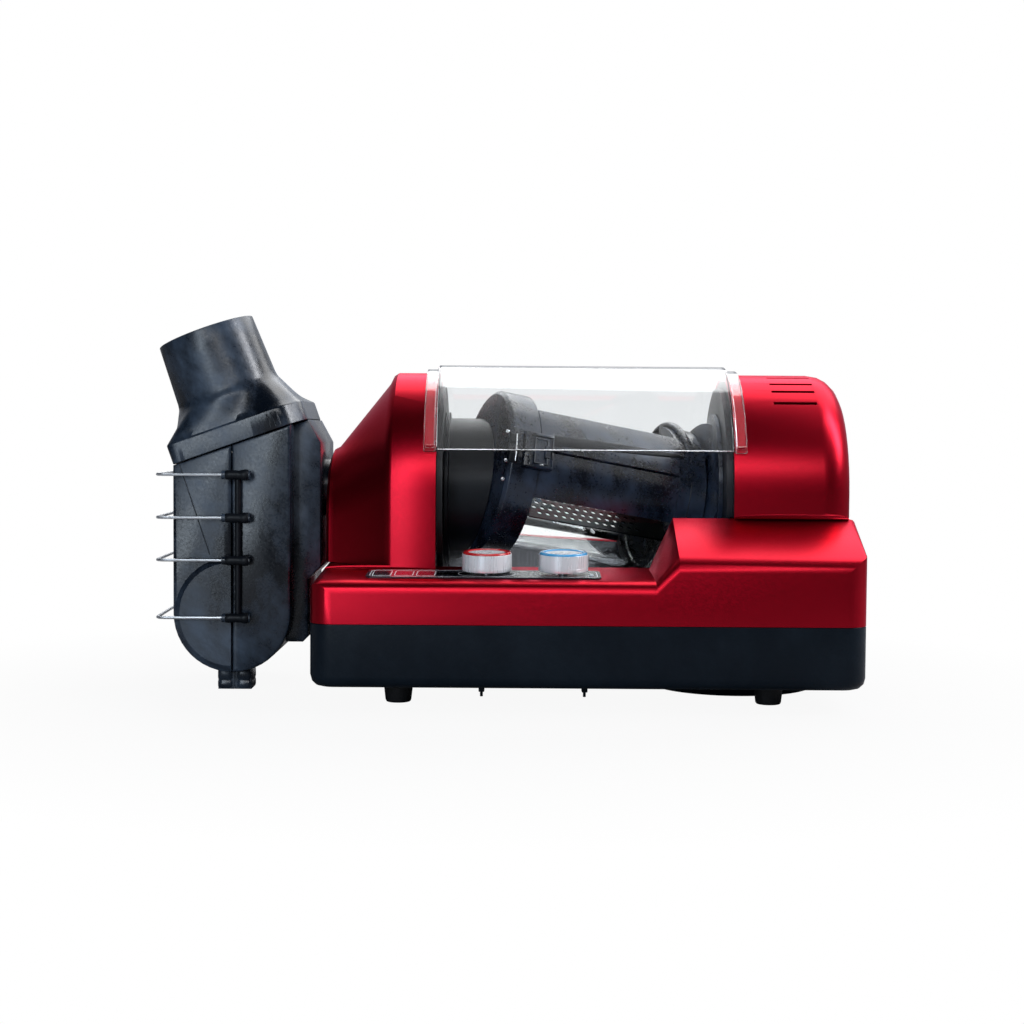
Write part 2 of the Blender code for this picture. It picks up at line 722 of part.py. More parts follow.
def make_top_housing():
    seam = SEAM_Z + FIT
    housing = base_box("top_housing", seam, BLOCK_TOP_Z + OVERRUN, 0.0, 0.0, False, "red")
    keep(housing, top_form("housing_top", 0.0))
    cavity = base_box("housing_cavity", seam - OVERRUN, BLOCK_TOP_Z, WALL, 0.0, False,
                      cutter=True)
    keep(cavity, top_form("cavity_top", WALL))
    web_low = DECK_FRONT_Z - DECK_RISE
    cut(cavity, block("web", (WALL, BASE_DEPTH * 2, BLOCK_TOP_Z * 2),
                      (RIGHT_WALL_X + FIT + WALL / 2, 0, web_low + BLOCK_TOP_Z), cutter=True))
    cut(housing, cavity)
    bay = (RIGHT_WALL_X - LEFT_WALL_X)
    cut(housing, cylinder("bay_round", WELL_R, bay, (DRUM_X + FIT, AXIS_Y, AXIS_Z), AXLE,
                          sides=96, cutter=True))
    seat = WALL * 3
    cut(housing, cylinder("bearing_room", STUB_R + WALL + FIT, seat,
                          (RIGHT_WALL_X + seat / 2, AXIS_Y, AXIS_Z), AXLE, cutter=True))
    throat = (RIGHT - RIGHT_WALL_X - WALL * 5, TOWER_R * 2 - RIGHT_ROUND * 2, WALL * 4)
    cut(housing, block("tower_throat", throat,
                       (RIGHT_WALL_X + WALL * 2 + throat[0] / 2, AXIS_Y, BLOCK_TOP_Z),
                       cutter=True))
    for inset in (TEMPERATURE_IN, TIMER_IN):
        cut(housing, cylinder("knob_hole", SHAFT_R + FIT, OVERRUN * 4,
                              (LEFT + inset, FRONT + KNOB_BACK, deck_height(KNOB_BACK)),
                              (deck_tilt(), 0.0, 0.0), sides=20, cutter=True))
    return housing


def make_liner():
    """Polished trough under the drum, with upright ends, trimmed to the deck."""
    length = RIGHT_WALL_X - LEFT_WALL_X - 4 * FIT
    outer = WELL_R - FIT
    liner = cylinder("well_liner", outer, length, (DRUM_X, AXIS_Y, AXIS_Z), AXLE, "steel", 96)
    cut(liner, cylinder("liner_hollow", outer - LINER_T, length - 2 * LINER_T,
                        (DRUM_X, AXIS_Y, AXIS_Z), AXLE, sides=96, cutter=True))
    keep(liner, top_form("liner_trim", LINER_SUNK, False))
    return liner


# Towers

def arch(x, radius, centre_z, base_clear, steps=24):
    """Tower section at one x: upright sides under a half circle."""
    points = [(x, AXIS_Y + radius * math.cos(math.radians(180.0 * i / steps)),
               centre_z + radius * math.sin(math.radians(180.0 * i / steps)))
              for i in range(steps + 1)]
    front = AXIS_Y - radius
    rear = AXIS_Y + radius
    points += [(x, front, base_clear(front)), (x, rear, base_clear(rear))]
    return points


def on_deck(y):
    return deck_height(y - FRONT) + FIT


def on_block(y):
    return BLOCK_TOP_Z + FIT


def below(surface):
    return lambda y: surface(y) - OVERRUN


def left_sections(inset, open_in, base):
    """Full arch, round crease, long shoulder and a smaller end, all offset inwards by inset."""
    crease = LEFT_WALL_X - LEFT_ARCH_LENGTH
    end = LEFT_WALL_X - LEFT_END_REACH + inset
    rows = [(LEFT_WALL_X + open_in, TOWER_R), (crease, TOWER_R)]
    fall = (TOWER_R - LEFT_END_R) / (LEFT_END_REACH - LEFT_ARCH_LENGTH - SHOULDER_ROUND)
    for share in (0.5, 1.0):
        rows.append((crease - SHOULDER_ROUND * share, TOWER_R - SHOULDER_ROUND * share ** 2 * fall))
    last = rows[-1][1]
    rows.append((end + SHOULDER_ROUND, LEFT_END_R + SHOULDER_ROUND * fall / 2))
    rows.append((end + SHOULDER_ROUND / 3, LEFT_END_R + SHOULDER_ROUND / 5))
    rows.append((end, LEFT_END_R - SHOULDER_ROUND / 4))
    sections = []
    for x, radius in rows:
        drop = LEFT_END_DROP * (TOWER_R - radius) / (TOWER_R - LEFT_END_R)
        lean = inset * (1.0 if radius > last else math.hypot(1.0, fall) * CONE_WALL_SHARE)
        sections.append(arch(x, radius - lean, AXIS_Z - drop, base))
    return sections


def right_sections(inset, open_in, base, steps=5):
    edge = RIGHT - inset
    rows = [(RIGHT_WALL_X - open_in, TOWER_R - inset)]
    for i in range(steps + 1):
        swing = math.radians(90.0 * i / steps)
        rows.append((RIGHT - RIGHT_ROUND + (RIGHT_ROUND - inset) * math.sin(swing),
                     TOWER_R - inset - (RIGHT_ROUND - inset) * (1 - math.cos(swing))))
    rows[-1] = (edge, rows[-1][1])
    return [arch(x, radius, AXIS_Z, base) for x, radius in rows]


def make_towers():
    left = loft("left_tower", left_sections(0.0, 0.0, on_deck), "red")
    cut(left, loft("left_tower_hollow", left_sections(TOWER_WALL, OVERRUN, below(on_deck)),
                   cutter=True))
    exhaust = (LEFT_WALL_X - LEFT_END_REACH, AXIS_Y, AXIS_Z)
    cut(left, cylinder("exhaust_hole", EXHAUST_R + FIT, OVERRUN * 4, exhaust, AXLE,
                       cutter=True))
    right = loft("right_tower", right_sections(0.0, 0.0, on_block), "red")
    cut(right, loft("right_tower_hollow", right_sections(TOWER_WALL, OVERRUN, below(on_block)),
                    cutter=True))
    slots = bmesh.new()
    middle_x = RIGHT - VENT_INSET - VENT_LENGTH / 2 - TOWER_WALL
    for angle in VENT_ANGLES:
        turn = Matrix.Rotation(-math.radians(angle), 4, "X")
        shift = Matrix.Translation((0, -TOWER_R, 0))
        scale = Matrix.Diagonal((VENT_LENGTH, OVERRUN * 2, VENT_WIDTH, 1))
        bmesh.ops.create_cube(slots, size=1, matrix=turn @ shift @ scale)
    cut(right, from_bmesh("vent_slots", slots, at=(middle_x, AXIS_Y, AXIS_Z), cutter=True))


def make_wall(name, wall_x, outward, disc_look):
    """Inner wall of a tower: an arch plate with a round raised disc and a bearing seat."""
    inner = TOWER_R - TOWER_WALL - FIT
    surface = on_deck if outward < 0 else on_block
    outline = [(y - AXIS_Y, z - AXIS_Z)
               for _, y, z in arch(0.0, inner, AXIS_Z, surface, 32)]
    depth = wall_x + outward * WALL / 2
    wall = plate(name, [outline], WALL, (depth, AXIS_Y, AXIS_Z), FACING_RIGHT, disc_look)
    disc_depth = wall_x - outward * (WALL_DISC_T - HAIR) / 2
    disc = cylinder(name + "_disc", WALL_DISC_R, WALL_DISC_T + HAIR,
                    (disc_depth, AXIS_Y, AXIS_Z), AXLE, sides=64, cutter=True)
    shy = LINER_T + 3 * FIT
    deck_top = max(surface(AXIS_Y - WALL_DISC_R), surface(AXIS_Y + WALL_DISC_R))
    cut(disc, block(name + "_liner_room", (shy * 2, WALL_DISC_R * 3, deck_top),
                    (wall_x, AXIS_Y, deck_top / 2 + FIT), cutter=True))
    join(wall, disc)
    cut(wall, cylinder(name + "_seat", STUB_R + WALL + FIT, WALL * 8,
                       (wall_x, AXIS_Y, AXIS_Z), AXLE, cutter=True))
    cut(wall, cylinder(name + "_pin_hole", COVER_PIN_R + FIT, WALL * 8,
                       (wall_x, AXIS_Y + COVER_HINGE_R, AXIS_Z), AXLE, sides=16,
                       cutter=True))
    bearing_x = wall_x + outward * WALL / 2 - outward * WALL_DISC_T / 2
    turned(name.replace("wall", "bearing"),
           ring_profile(STUB_R + WALL, STUB_R + FIT, -(WALL + WALL_DISC_T) / 2 + FIT,
                        (WALL + WALL_DISC_T) / 2 - FIT),
           "nylon", (bearing_x, AXIS_Y, AXIS_Z), AXLE, ring=True)


# Clear cover

def make_cover():
    """Stepped shell turned through part of a circle about the drum axis, then given a wall."""
    hinge = Vector((DRUM_X, AXIS_Y + COVER_HINGE_R, AXIS_Z))
    axis = empty("cover_axis", hinge)
    half = (RIGHT_WALL_X - LEFT_WALL_X) / 2
    inner = TOWER_R + FIT
    step = COVER_STEP
    profile = [(inner, half + FLANGE_WIDTH), (inner, half + FIT), (inner + step, half - step / 3),
               (inner + step, step / 3 - half), (inner, -half - FIT),
               (inner, -half - FLANGE_WIDTH)]
    shape = bmesh.new()
    points = [shape.verts.new((0, -radius, x)) for radius, x in profile]
    for pair in zip(points, points[1:]):
        shape.edges.new(pair)
    cover = from_bmesh("cover_shell", shape, "clear", Vector((DRUM_X, AXIS_Y, AXIS_Z)) - hinge,
                       AXLE, parent=axis)
    shape = cover.data
    start = math.radians(COVER_FRONT_ANGLE)
    shape.transform(Matrix.Rotation(-start, 4, "Z"))
    screw = cover.modifiers.new("sweep", "SCREW")
    screw.angle = -math.radians(180.0 - COVER_FRONT_ANGLE - COVER_REAR_ANGLE)
    screw.steps = screw.render_steps = 30
    screw.use_merge_vertices = False
    screw.use_smooth_shade = True
    wall = cover.modifiers.new("wall", "SOLIDIFY")
    wall.thickness = COVER_T
    wall.offset = -1
    wall.use_even_offset = True
    wall.use_rim = True
    rear = math.radians(COVER_REAR_ANGLE)
    tip = Vector((COVER_OUTER * math.cos(rear), COVER_OUTER * math.sin(rear)))
    root = Vector((COVER_HINGE_R, 0.0))
    for side, x in (("left", LEFT_WALL_X + FIT * 3), ("right", RIGHT_WALL_X - FIT * 3)):
        inward = COVER_EAR_T / 2 if side == "left" else -COVER_EAR_T / 2
        loop = arc(COVER_EAR_R, 150.0, 360.0, 10, tuple(root))
        loop += [tuple(tip - Vector((HAIR, -COVER_EAR_T))),
                 tuple(tip - Vector((COVER_T + COVER_STEP, -COVER_EAR_T - COVER_STEP)))]
        ear = plate("cover_ear_" + side, [loop], COVER_EAR_T,
                    Vector((x + inward, AXIS_Y, AXIS_Z)) - hinge, FACING_RIGHT,
                    parent=axis, cutter=True)
        join(cover, ear)
        cut(cover, cylinder("cover_ear_bore_" + side, COVER_PIN_R + FIT, COVER_EAR_T * 2,
                            Vector((x + inward, AXIS_Y + COVER_HINGE_R, AXIS_Z)) - hinge, AXLE,
                            sides=16, parent=axis, cutter=True))
        reach = COVER_EAR_T + WALL + FIT * 3
        centre = x + inward * 2 - (reach / 2 if side == "left" else -reach / 2)
        cylinder("cover_pin_" + side, COVER_PIN_R, reach, (centre, AXIS_Y + COVER_HINGE_R, AXIS_Z),
                 AXLE, "steel", 16)
    radius = inner + COVER_BEAD_R
    bead_angle = math.radians(180.0 - COVER_FRONT_ANGLE) - COVER_BEAD_R / 2 / radius
    for side, x in (("left", -half - FLANGE_WIDTH / 2), ("right", half + FLANGE_WIDTH / 2)):
        spot = Vector((DRUM_X + x, AXIS_Y + radius * math.cos(bead_angle),
                       AXIS_Z + radius * math.sin(bead_angle))) - hinge
        bead = cylinder("cover_bead_" + side, COVER_BEAD_R, FLANGE_WIDTH * BEAD_LENGTH_SHARE, spot, AXLE,
                        sides=16, parent=axis, cutter=True)
        join(cover, bead)
    return cover


# Drum: everything that turns between the towers

def make_drum():
    axis = empty("drum_axis", (DRUM_X, AXIS_Y, AXIS_Z), (PHASE, 0.0, 0.0))
    tilt = empty("drum_tilt", (0.0, 0.0, 0.0), (0.0, 0.0, TILT), axis)

    glass = turned("drum_glass", ring_profile(GLASS_R, GLASS_R - GLASS_T, -GLASS_HALF,
                                              GLASS_HALF),
                   "clear", turn=AXLE, ring=True, steps=40, parent=tilt)
    lid = turned("drum_lid", rim_cup(LID_R, LID_RIM_T, LID_PLATE_T,
                                     LID_FACE, GLASS_HALF - LID_PLATE_T), "satin_black",
                 turn=(0.0, -math.pi / 2, 0.0), steps=44, parent=tilt)
    cap = turned("drum_end_cap", rim_cup(CAP_R, CAP_RIM_T, LID_PLATE_T, LID_FACE,
                                         LID_FACE - CAP_DEPTH), "satin_black",
                 turn=AXLE, steps=44, parent=tilt)
    for piece, side in ((lid, "left"), (cap, "right")):
        cut(piece, cylinder("air_port_" + side, AIR_BORE_R, LID_FACE * 4, (0, 0, 0), AXLE,
                            parent=axis, cutter=True))
    make_claw(cap, tilt)
    make_hub("drum_left_hub", -1, HUB_BODY_R, axis, tilt)
    make_hub("drum_right_hub", 1, RIGHT_HUB_R, axis, tilt)
    cage, handle = make_cage(tilt)
    make_vane(tilt)
    make_latch((lid, cage, handle), tilt)
    return glass


def rim_cup(radius, rim, floor, face, mouth):
    """Half section of a shallow cup: a floor plate at the face and a thick rim to the mouth."""
    edge = rim / 3
    return [(0.0, face), (radius - edge, face), (radius, face - edge), (radius, mouth),
            (radius - rim, mouth), (radius - rim, face - floor), (0.0, face - floor)]


def make_claw(cap, tilt):
    """The open, hooked side of the end cap, where the rim is cut back in a curve."""
    reach = CAP_DEPTH - LID_PLATE_T * 2
    gap = cylinder("claw_gap", reach * CLAW_R_SHARE, CAP_R, UPRIGHT, sides=28, parent=tilt,
                   cutter=True)
    gap.location = (LID_FACE - CAP_DEPTH, -CAP_R * CLAW_FRONT_SHARE, CAP_R)
    cut(cap, gap)


def make_hub(name, side, radius, axis, tilt):
    """Hub on the turning axis, cut off along the slanted face of the drum."""
    flange = HUB_FLANGE_T
    body_length = HUB_OUT - LID_FACE * math.cos(TILT) + LID_R * math.sin(TILT)
    turn = AXLE if side > 0 else (0.0, -math.pi / 2, 0.0)
    hub = cylinder(name, radius, body_length,
                   (side * (HUB_OUT - flange / 2 - body_length / 2), 0, 0), turn, "satin_black",
                   48, parent=axis)
    slab = LID_FACE * 2
    cut(hub, block(name + "_slant", (slab, slab * 2, slab * 2),
                   (side * (LID_FACE + FIT) - side * slab / 2, 0, 0), parent=tilt, cutter=True))
    join(hub, cylinder(name + "_flange", HUB_FLANGE_R, flange,
                       (side * (HUB_OUT - flange / 2), 0, 0), turn, sides=48, parent=axis,
                       cutter=True))
    join(hub, cylinder(name + "_stub", STUB_R, STUB_LENGTH + flange,
                       (side * (HUB_OUT + STUB_LENGTH / 2 - flange / 2), 0, 0), turn, sides=32,
                       parent=axis, cutter=True))
    cut(hub, cylinder(name + "_bore", AIR_BORE_R + WALL, LID_FACE, (side * HUB_OUT, 0, 0), turn,
                      sides=32, parent=axis, cutter=True))


def sector(name, radius, thickness, low, high, start, end, look, tilt, steps=14):
    """Part of a tube round the glass, between two angles and two places along it."""
    shape = bmesh.new()
    first = math.radians(start) + PHASE
    ends = [shape.verts.new((place, -radius * math.cos(first), radius * math.sin(first)))
            for place in (low, high)]
    shape.edges.new(ends)
    piece = from_bmesh(name, shape, look, parent=tilt)
    screw = piece.modifiers.new("sweep", "SCREW")
    screw.axis = "X"
    screw.angle = -math.radians(end - start)
    screw.steps = screw.render_steps = steps
    screw.use_merge_vertices = False
    screw.use_smooth_shade = True
    wall = piece.modifiers.new("wall", "SOLIDIFY")
    wall.thickness = thickness
    wall.offset = 1
    wall.use_even_offset = True
    return piece


def make_cage(tilt):
    """Two curved panels over the glass, the upper one a handle, and the rod along their top."""
    left = -(GLASS_HALF - LID_PLATE_T) + FIT
    right = LID_FACE - CAP_DEPTH - FIT
    gap = math.degrees(FIT / CAGE_R)
    cage = sector("drum_cage", CAGE_R, CAGE_T, left, right, CAGE_LOW_ANGLE,
                  CAGE_SPLIT_ANGLE - gap, "satin_black", tilt, 12)
    handle = sector("drum_handle", CAGE_R, GRIP_T, left, right, CAGE_SPLIT_ANGLE + gap,
                    CAGE_TOP_ANGLE, "satin_black", tilt, 12)
    angle = math.radians(SPINE_ANGLE) + PHASE
    spot = CAGE_R + SPINE_R - GLASS_T / 2
    cylinder("drum_spine", SPINE_R, right - left,
             ((left + right) / 2, -spot * math.cos(angle), spot * math.sin(angle)), AXLE,
             "satin_black", 16, parent=tilt)
    return cage, handle


def make_vane(tilt):
    """Perforated lifting vane across the inside of the glass."""
    right = LID_FACE - LID_PLATE_T - FIT
    half_x = (right - VANE_LEFT) / 2
    half_y = VANE_WIDTH / 2
    corner = VANE_WIDTH / 3
    outline = [(-half_x + corner, -half_y), (half_x, -half_y), (half_x, half_y),
               (-half_x, half_y), (-half_x, -half_y + corner)]
    loops = [outline]
    rows = int((VANE_WIDTH - VANE_PITCH / 2) // VANE_PITCH)
    columns = int((2 * half_x - corner - CAP_DEPTH) // VANE_PITCH)
    for row in range(rows):
        for column in range(columns):
            shift = VANE_PITCH / 2 if row % 2 else 0.0
            middle = (half_x - CAP_DEPTH - VANE_PITCH * column - shift,
                      (row - (rows - 1) / 2) * VANE_PITCH)
            loops.append(circle(VANE_HOLE_R, 6, middle))
    turn = (math.radians(VANE_TILT) - PHASE, 0.0, 0.0)
    vane = plate("drum_vane", loops, VANE_T, (0, 0, 0), turn, "steel", parent=tilt)
    back = Vector(((right + VANE_LEFT) / 2, VANE_BACK, -VANE_DROP))
    back.rotate(Matrix.Rotation(-PHASE, 3, "X"))
    vane.location = back
    return vane


def make_latch(owners, tilt):
    """Latch box sunk in the rim and the cage, with a wire bail folded into its top."""
    angle = math.radians(LATCH_ANGLE) + PHASE
    outward = Vector((0.0, -math.cos(angle), math.sin(angle)))
    turn = (math.pi / 2 - angle, 0.0, 0.0)
    seat = Vector((LATCH_MIDDLE, 0, 0)) + outward * LATCH_SEAT_R
    pocket = (LATCH_LENGTH + 2 * FIT, LATCH_WIDTH + 2 * FIT, LATCH_HEIGHT * 2)
    for owner in owners:
        cut(owner, block("latch_pocket_" + owner.name, pocket, seat + outward * LATCH_HEIGHT,
                         turn=turn, parent=tilt, cutter=True))
    box = block("latch_box", (LATCH_LENGTH, LATCH_WIDTH, LATCH_HEIGHT),
                seat + outward * (LATCH_HEIGHT / 2 + FIT), "black", BAIL_WIRE_R, turn, tilt)
    top = seat + outward * (LATCH_HEIGHT + FIT)
    pivot = top + Vector((LATCH_LENGTH * BAIL_PIVOT_SHARE, 0, 0))
    groove = BAIL_WIRE_R * BAIL_GROOVE_SHARE
    cut(box, block("latch_groove", (BAIL_REACH + BAIL_WIRE_R * 8, BAIL_WIDTH + BAIL_WIRE_R * 4,
                                    groove * 2),
                   pivot - Vector((BAIL_REACH / 2, 0, 0)), turn=turn, parent=tilt,
                   cutter=True))
    half = BAIL_WIDTH / 2
    lug = (BAIL_WIRE_R * 4, half - 2 * FIT, groove + BAIL_WIRE_R)
    join(box, block("latch_lug", lug, pivot - outward * lug[2] / 2, turn=turn, parent=tilt,
                    cutter=True))
    hinge = empty("bail_axis", pivot - outward * groove / 2, turn, tilt)
    back = half * RETURN_SHARE
    path = [(0.0, -back, 0.0), (0.0, -half, 0.0), (-BAIL_REACH, -half, 0.0),
            (-BAIL_REACH, half, 0.0), (0.0, half, 0.0), (0.0, back, 0.0)]
    rod("latch_bail", path, BAIL_WIRE_R, "steel", parent=hinge, sides=1)


# Drive: gear on the right hub, pinion and motor in the right tower

def gear_outline(teeth, module, phase):
    """Tapered teeth about the pitch circle, a little thin for backlash."""
    pitch = teeth * module / 2
    points = []
    for tooth in range(teeth):
        centre = phase + TAU * tooth / teeth
        width = TAU / teeth / 4 * TOOTH_WIDTH_SHARE
        root, tip = pitch - module * TOOTH_ROOT_SHARE, pitch + module * TOOTH_TIP_SHARE
        foot, land = width * TOOTH_FOOT_SHARE, width * TOOTH_LAND_SHARE
        for radius, spread in ((root, -foot), (tip, -land), (tip, land), (root, foot)):
            points.append((radius * math.cos(centre + spread),
                           radius * math.sin(centre + spread)))
    return points


def make_drive():
    gear_x = RIGHT_WALL_X + WALL + FIT + GEAR_WIDTH
    line = math.radians(PINION_ANGLE)
    apart = (GEAR_TEETH + PINION_TEETH) * GEAR_MODULE / 2
    axis = empty("gear_axis", (gear_x, AXIS_Y, AXIS_Z))
    plate("drum_gear", [gear_outline(GEAR_TEETH, GEAR_MODULE, line),
                        circle(STUB_R + FIT, 32)],
          GEAR_WIDTH, (0, 0, 0), FACING_RIGHT, "nylon", axis)
    spot = Vector((gear_x, AXIS_Y + apart * math.cos(line), AXIS_Z + apart * math.sin(line)))
    pinion_axis = empty("pinion_axis", spot)
    plate("drive_pinion", [gear_outline(PINION_TEETH, GEAR_MODULE,
                                        line + math.pi + math.pi / PINION_TEETH),
                           circle(PINION_BORE_R + FIT, 16)],
          GEAR_WIDTH, (0, 0, 0), FACING_RIGHT, "steel", pinion_axis)
    face = gear_x + GEAR_WIDTH / 2 + RUNNING
    profile = [(0.0, MOTOR_LENGTH), (MOTOR_R - WALL, MOTOR_LENGTH),
               (MOTOR_R, MOTOR_LENGTH - WALL), (MOTOR_R, 0.0), (PINION_BORE_R, 0.0),
               (PINION_BORE_R, -GEAR_WIDTH - RUNNING), (0.0, -GEAR_WIDTH - RUNNING)]
    turned("drive_motor", profile, "grey", (face, *spot[1:]), AXLE)


# Blower, heater and ducts

def spiral(radius, grow, steps=28):
    """Volute outline whose radius grows steadily through one turn."""
    points = []
    for i in range(steps + 1):
        angle = TAU * (i + 1 / 3) / steps
        reach = radius + grow * i / steps
        points.append((reach * math.cos(angle), reach * math.sin(angle)))
    return points


def make_blower():
    floor = FOOT_HEIGHT + WALL + FIT
    middle_z = floor + BLOWER_HEIGHT / 2
    spot = Vector((LEFT + BLOWER_IN, FRONT + BLOWER_BACK, middle_z))
    housing = plate("blower_housing", [spiral(BLOWER_R, BLOWER_GROW)], BLOWER_HEIGHT, spot,
                    UPRIGHT, "grey")
    duct_x = LEFT + DUCT_IN
    duct_y = AXIS_Y
    start = spot.y - 2 * BLOWER_WALL
    end = duct_y + DUCT_R + BLOWER_WALL
    width = DUCT_R * 2 + BLOWER_WALL
    outlet_middle = (duct_x, (start + end) / 2, middle_z)
    join(housing, block("blower_outlet", (width, end - start, BLOWER_HEIGHT), outlet_middle,
                        cutter=True))
    inner_height = BLOWER_HEIGHT - 2 * BLOWER_WALL
    cut(housing, plate("blower_hollow", [spiral(BLOWER_R - BLOWER_WALL, BLOWER_GROW)],
                       inner_height, spot, UPRIGHT, cutter=True))
    cut(housing, block("outlet_hollow", (width - 2 * BLOWER_WALL, end - start - 2 * BLOWER_WALL,
                                         inner_height - HAIR),
                       (duct_x, (start + end) / 2, middle_z), cutter=True))
    cut(housing, cylinder("outlet_mouth", DUCT_R - DUCT_T, BLOWER_WALL * 4,
                          (duct_x, duct_y, floor + BLOWER_HEIGHT), cutter=True))
    cut(housing, cylinder("spindle_hole", SPINDLE_R * 2, BLOWER_WALL * 4,
                          (spot.x, spot.y, floor + BLOWER_HEIGHT), sides=16, cutter=True))
    cut(housing, cylinder("blower_eye", BLOWER_INLET_R, BLOWER_WALL * 4,
                          (spot.x, spot.y, floor), sides=36, cutter=True))
    low = floor + BLOWER_WALL + RUNNING * 2
    impeller = cylinder("blower_impeller", SPINDLE_R * 3, IMPELLER_HEIGHT,
                        (spot.x, spot.y, low + IMPELLER_HEIGHT / 2), look="black", sides=24)
    join(impeller, cylinder("impeller_plate", IMPELLER_R, BLADE_T,
                            (spot.x, spot.y, low + IMPELLER_HEIGHT - BLADE_T / 2 - HAIR),
                            sides=36, cutter=True))
    blades = bmesh.new()
    reach = IMPELLER_R - BLADE_T - SPINDLE_R * 3
    for i in range(IMPELLER_BLADES):
        turn = Matrix.Rotation(TAU * i / IMPELLER_BLADES, 4, "Z")
        shift = Matrix.Translation((IMPELLER_R - BLADE_T - reach / 2, 0, 0))
        lean = Matrix.Rotation(math.radians(24.0), 4, "Z")
        scale = Matrix.Diagonal((reach * BLADE_REACH_SHARE, BLADE_T, IMPELLER_HEIGHT - BLADE_T, 1))
        bmesh.ops.create_cube(blades, size=1, matrix=turn @ shift @ lean @ scale)
    join(impeller, from_bmesh("impeller_blades", blades,
                              at=(spot.x, spot.y, low + (IMPELLER_HEIGHT - BLADE_T / 2) / 2),
                              cutter=True))
    cut(impeller, cylinder("impeller_bore", SPINDLE_R + FIT, IMPELLER_HEIGHT * 2,
                           (spot.x, spot.y, low), sides=16, cutter=True))
    top = floor + BLOWER_HEIGHT + FIT
    dip = floor + BLOWER_HEIGHT - (low + BLADE_T)
    profile = [(0.0, BLOWER_MOTOR_HEIGHT), (BLOWER_MOTOR_R - WALL, BLOWER_MOTOR_HEIGHT),
               (BLOWER_MOTOR_R, BLOWER_MOTOR_HEIGHT - WALL), (BLOWER_MOTOR_R, 0.0),
               (SPINDLE_R, 0.0), (SPINDLE_R, -dip), (0.0, -dip)]
    turned("blower_motor", profile, "grey", (spot.x, spot.y, top), steps=24)
    make_duct(duct_x, duct_y, floor + BLOWER_HEIGHT + FIT)


def make_duct(x, y, low):
    """Hot air duct: up beside the motor, then round a bend to the hub's stub."""
    nozzle = RIGHT_WALL_X - WALL_DISC_T - RUNNING + STUB_LENGTH + RUNNING * 2
    rise = AXIS_Z - DUCT_BEND
    path = [(x, y, low), (x, y, rise)]
    path += [(x - DUCT_BEND + across, y, rise + up)
             for across, up in arc(DUCT_BEND, 0.0, 90.0, 5)[1:]]
    path.append((nozzle, y, AXIS_Z))
    duct = rod("heater_duct", path, DUCT_R, "steel", sides=4)
    first = Vector(path[0]) - Vector((0, 0, OVERRUN))
    last = Vector(path[-1]) - Vector((OVERRUN, 0, 0))
    cut(duct, rod("duct_bore", [tuple(first)] + path[:-1] + [tuple(path[-1]), tuple(last)],
                  DUCT_R - DUCT_T, cutter=True, sides=4))
    pitch = HEATER_LENGTH / HEATER_RIBS
    neck = HEATER_R * HEATER_NECK_SHARE
    profile = [(0.0, HEATER_LENGTH)]
    for i in range(HEATER_RIBS):
        high = HEATER_LENGTH - pitch * i
        profile += [(HEATER_R, high), (HEATER_R, high - pitch * HEATER_RIB_SHARE),
                    (neck, high - pitch * HEATER_RIB_SHARE), (neck, high - pitch)]
    profile.append((0.0, 0.0))
    turned("heater_core", profile, "ceramic", (x, y, low + BLOWER_WALL), steps=14)


def make_exhaust():
    """Duct from the left hub's stub to the socket in the tower's end."""
    start = DRUM_X - HUB_OUT - STUB_LENGTH - RUNNING * 2
    end = LEFT_WALL_X - LEFT_END_REACH
    middle = (start + end) / 2
    duct = turned("exhaust_duct", ring_profile(EXHAUST_R, EXHAUST_R - EXHAUST_T,
                                               -(start - end) / 2, (start - end) / 2),
                  "steel", (middle, AXIS_Y, AXIS_Z), AXLE, ring=True)
    probe_x = middle + FIT
    cut(duct, cylinder("probe_hole", PROBE_R + FIT, EXHAUST_R,
                       (probe_x, AXIS_Y, AXIS_Z + EXHAUST_R), sides=16, cutter=True))
    top = AXIS_Z + EXHAUST_R + FIT
    profile = [(0.0, PROBE_HEAD_R * 2), (PROBE_HEAD_R, PROBE_HEAD_R * 2), (PROBE_HEAD_R, 0.0),
               (PROBE_R, 0.0), (PROBE_R, -PROBE_LENGTH / 2), (0.0, -PROBE_LENGTH / 2)]
    turned("temperature_probe", profile, "steel", (probe_x, AXIS_Y, top), steps=16)


# Controls

def on_deck_frame(name, inset, back, lift=0.0):
    """An empty lying on the deck's slope."""
    spot = (LEFT + inset, FRONT + back, deck_height(back) + lift)
    return empty(name, spot, (deck_tilt(), 0.0, 0.0))


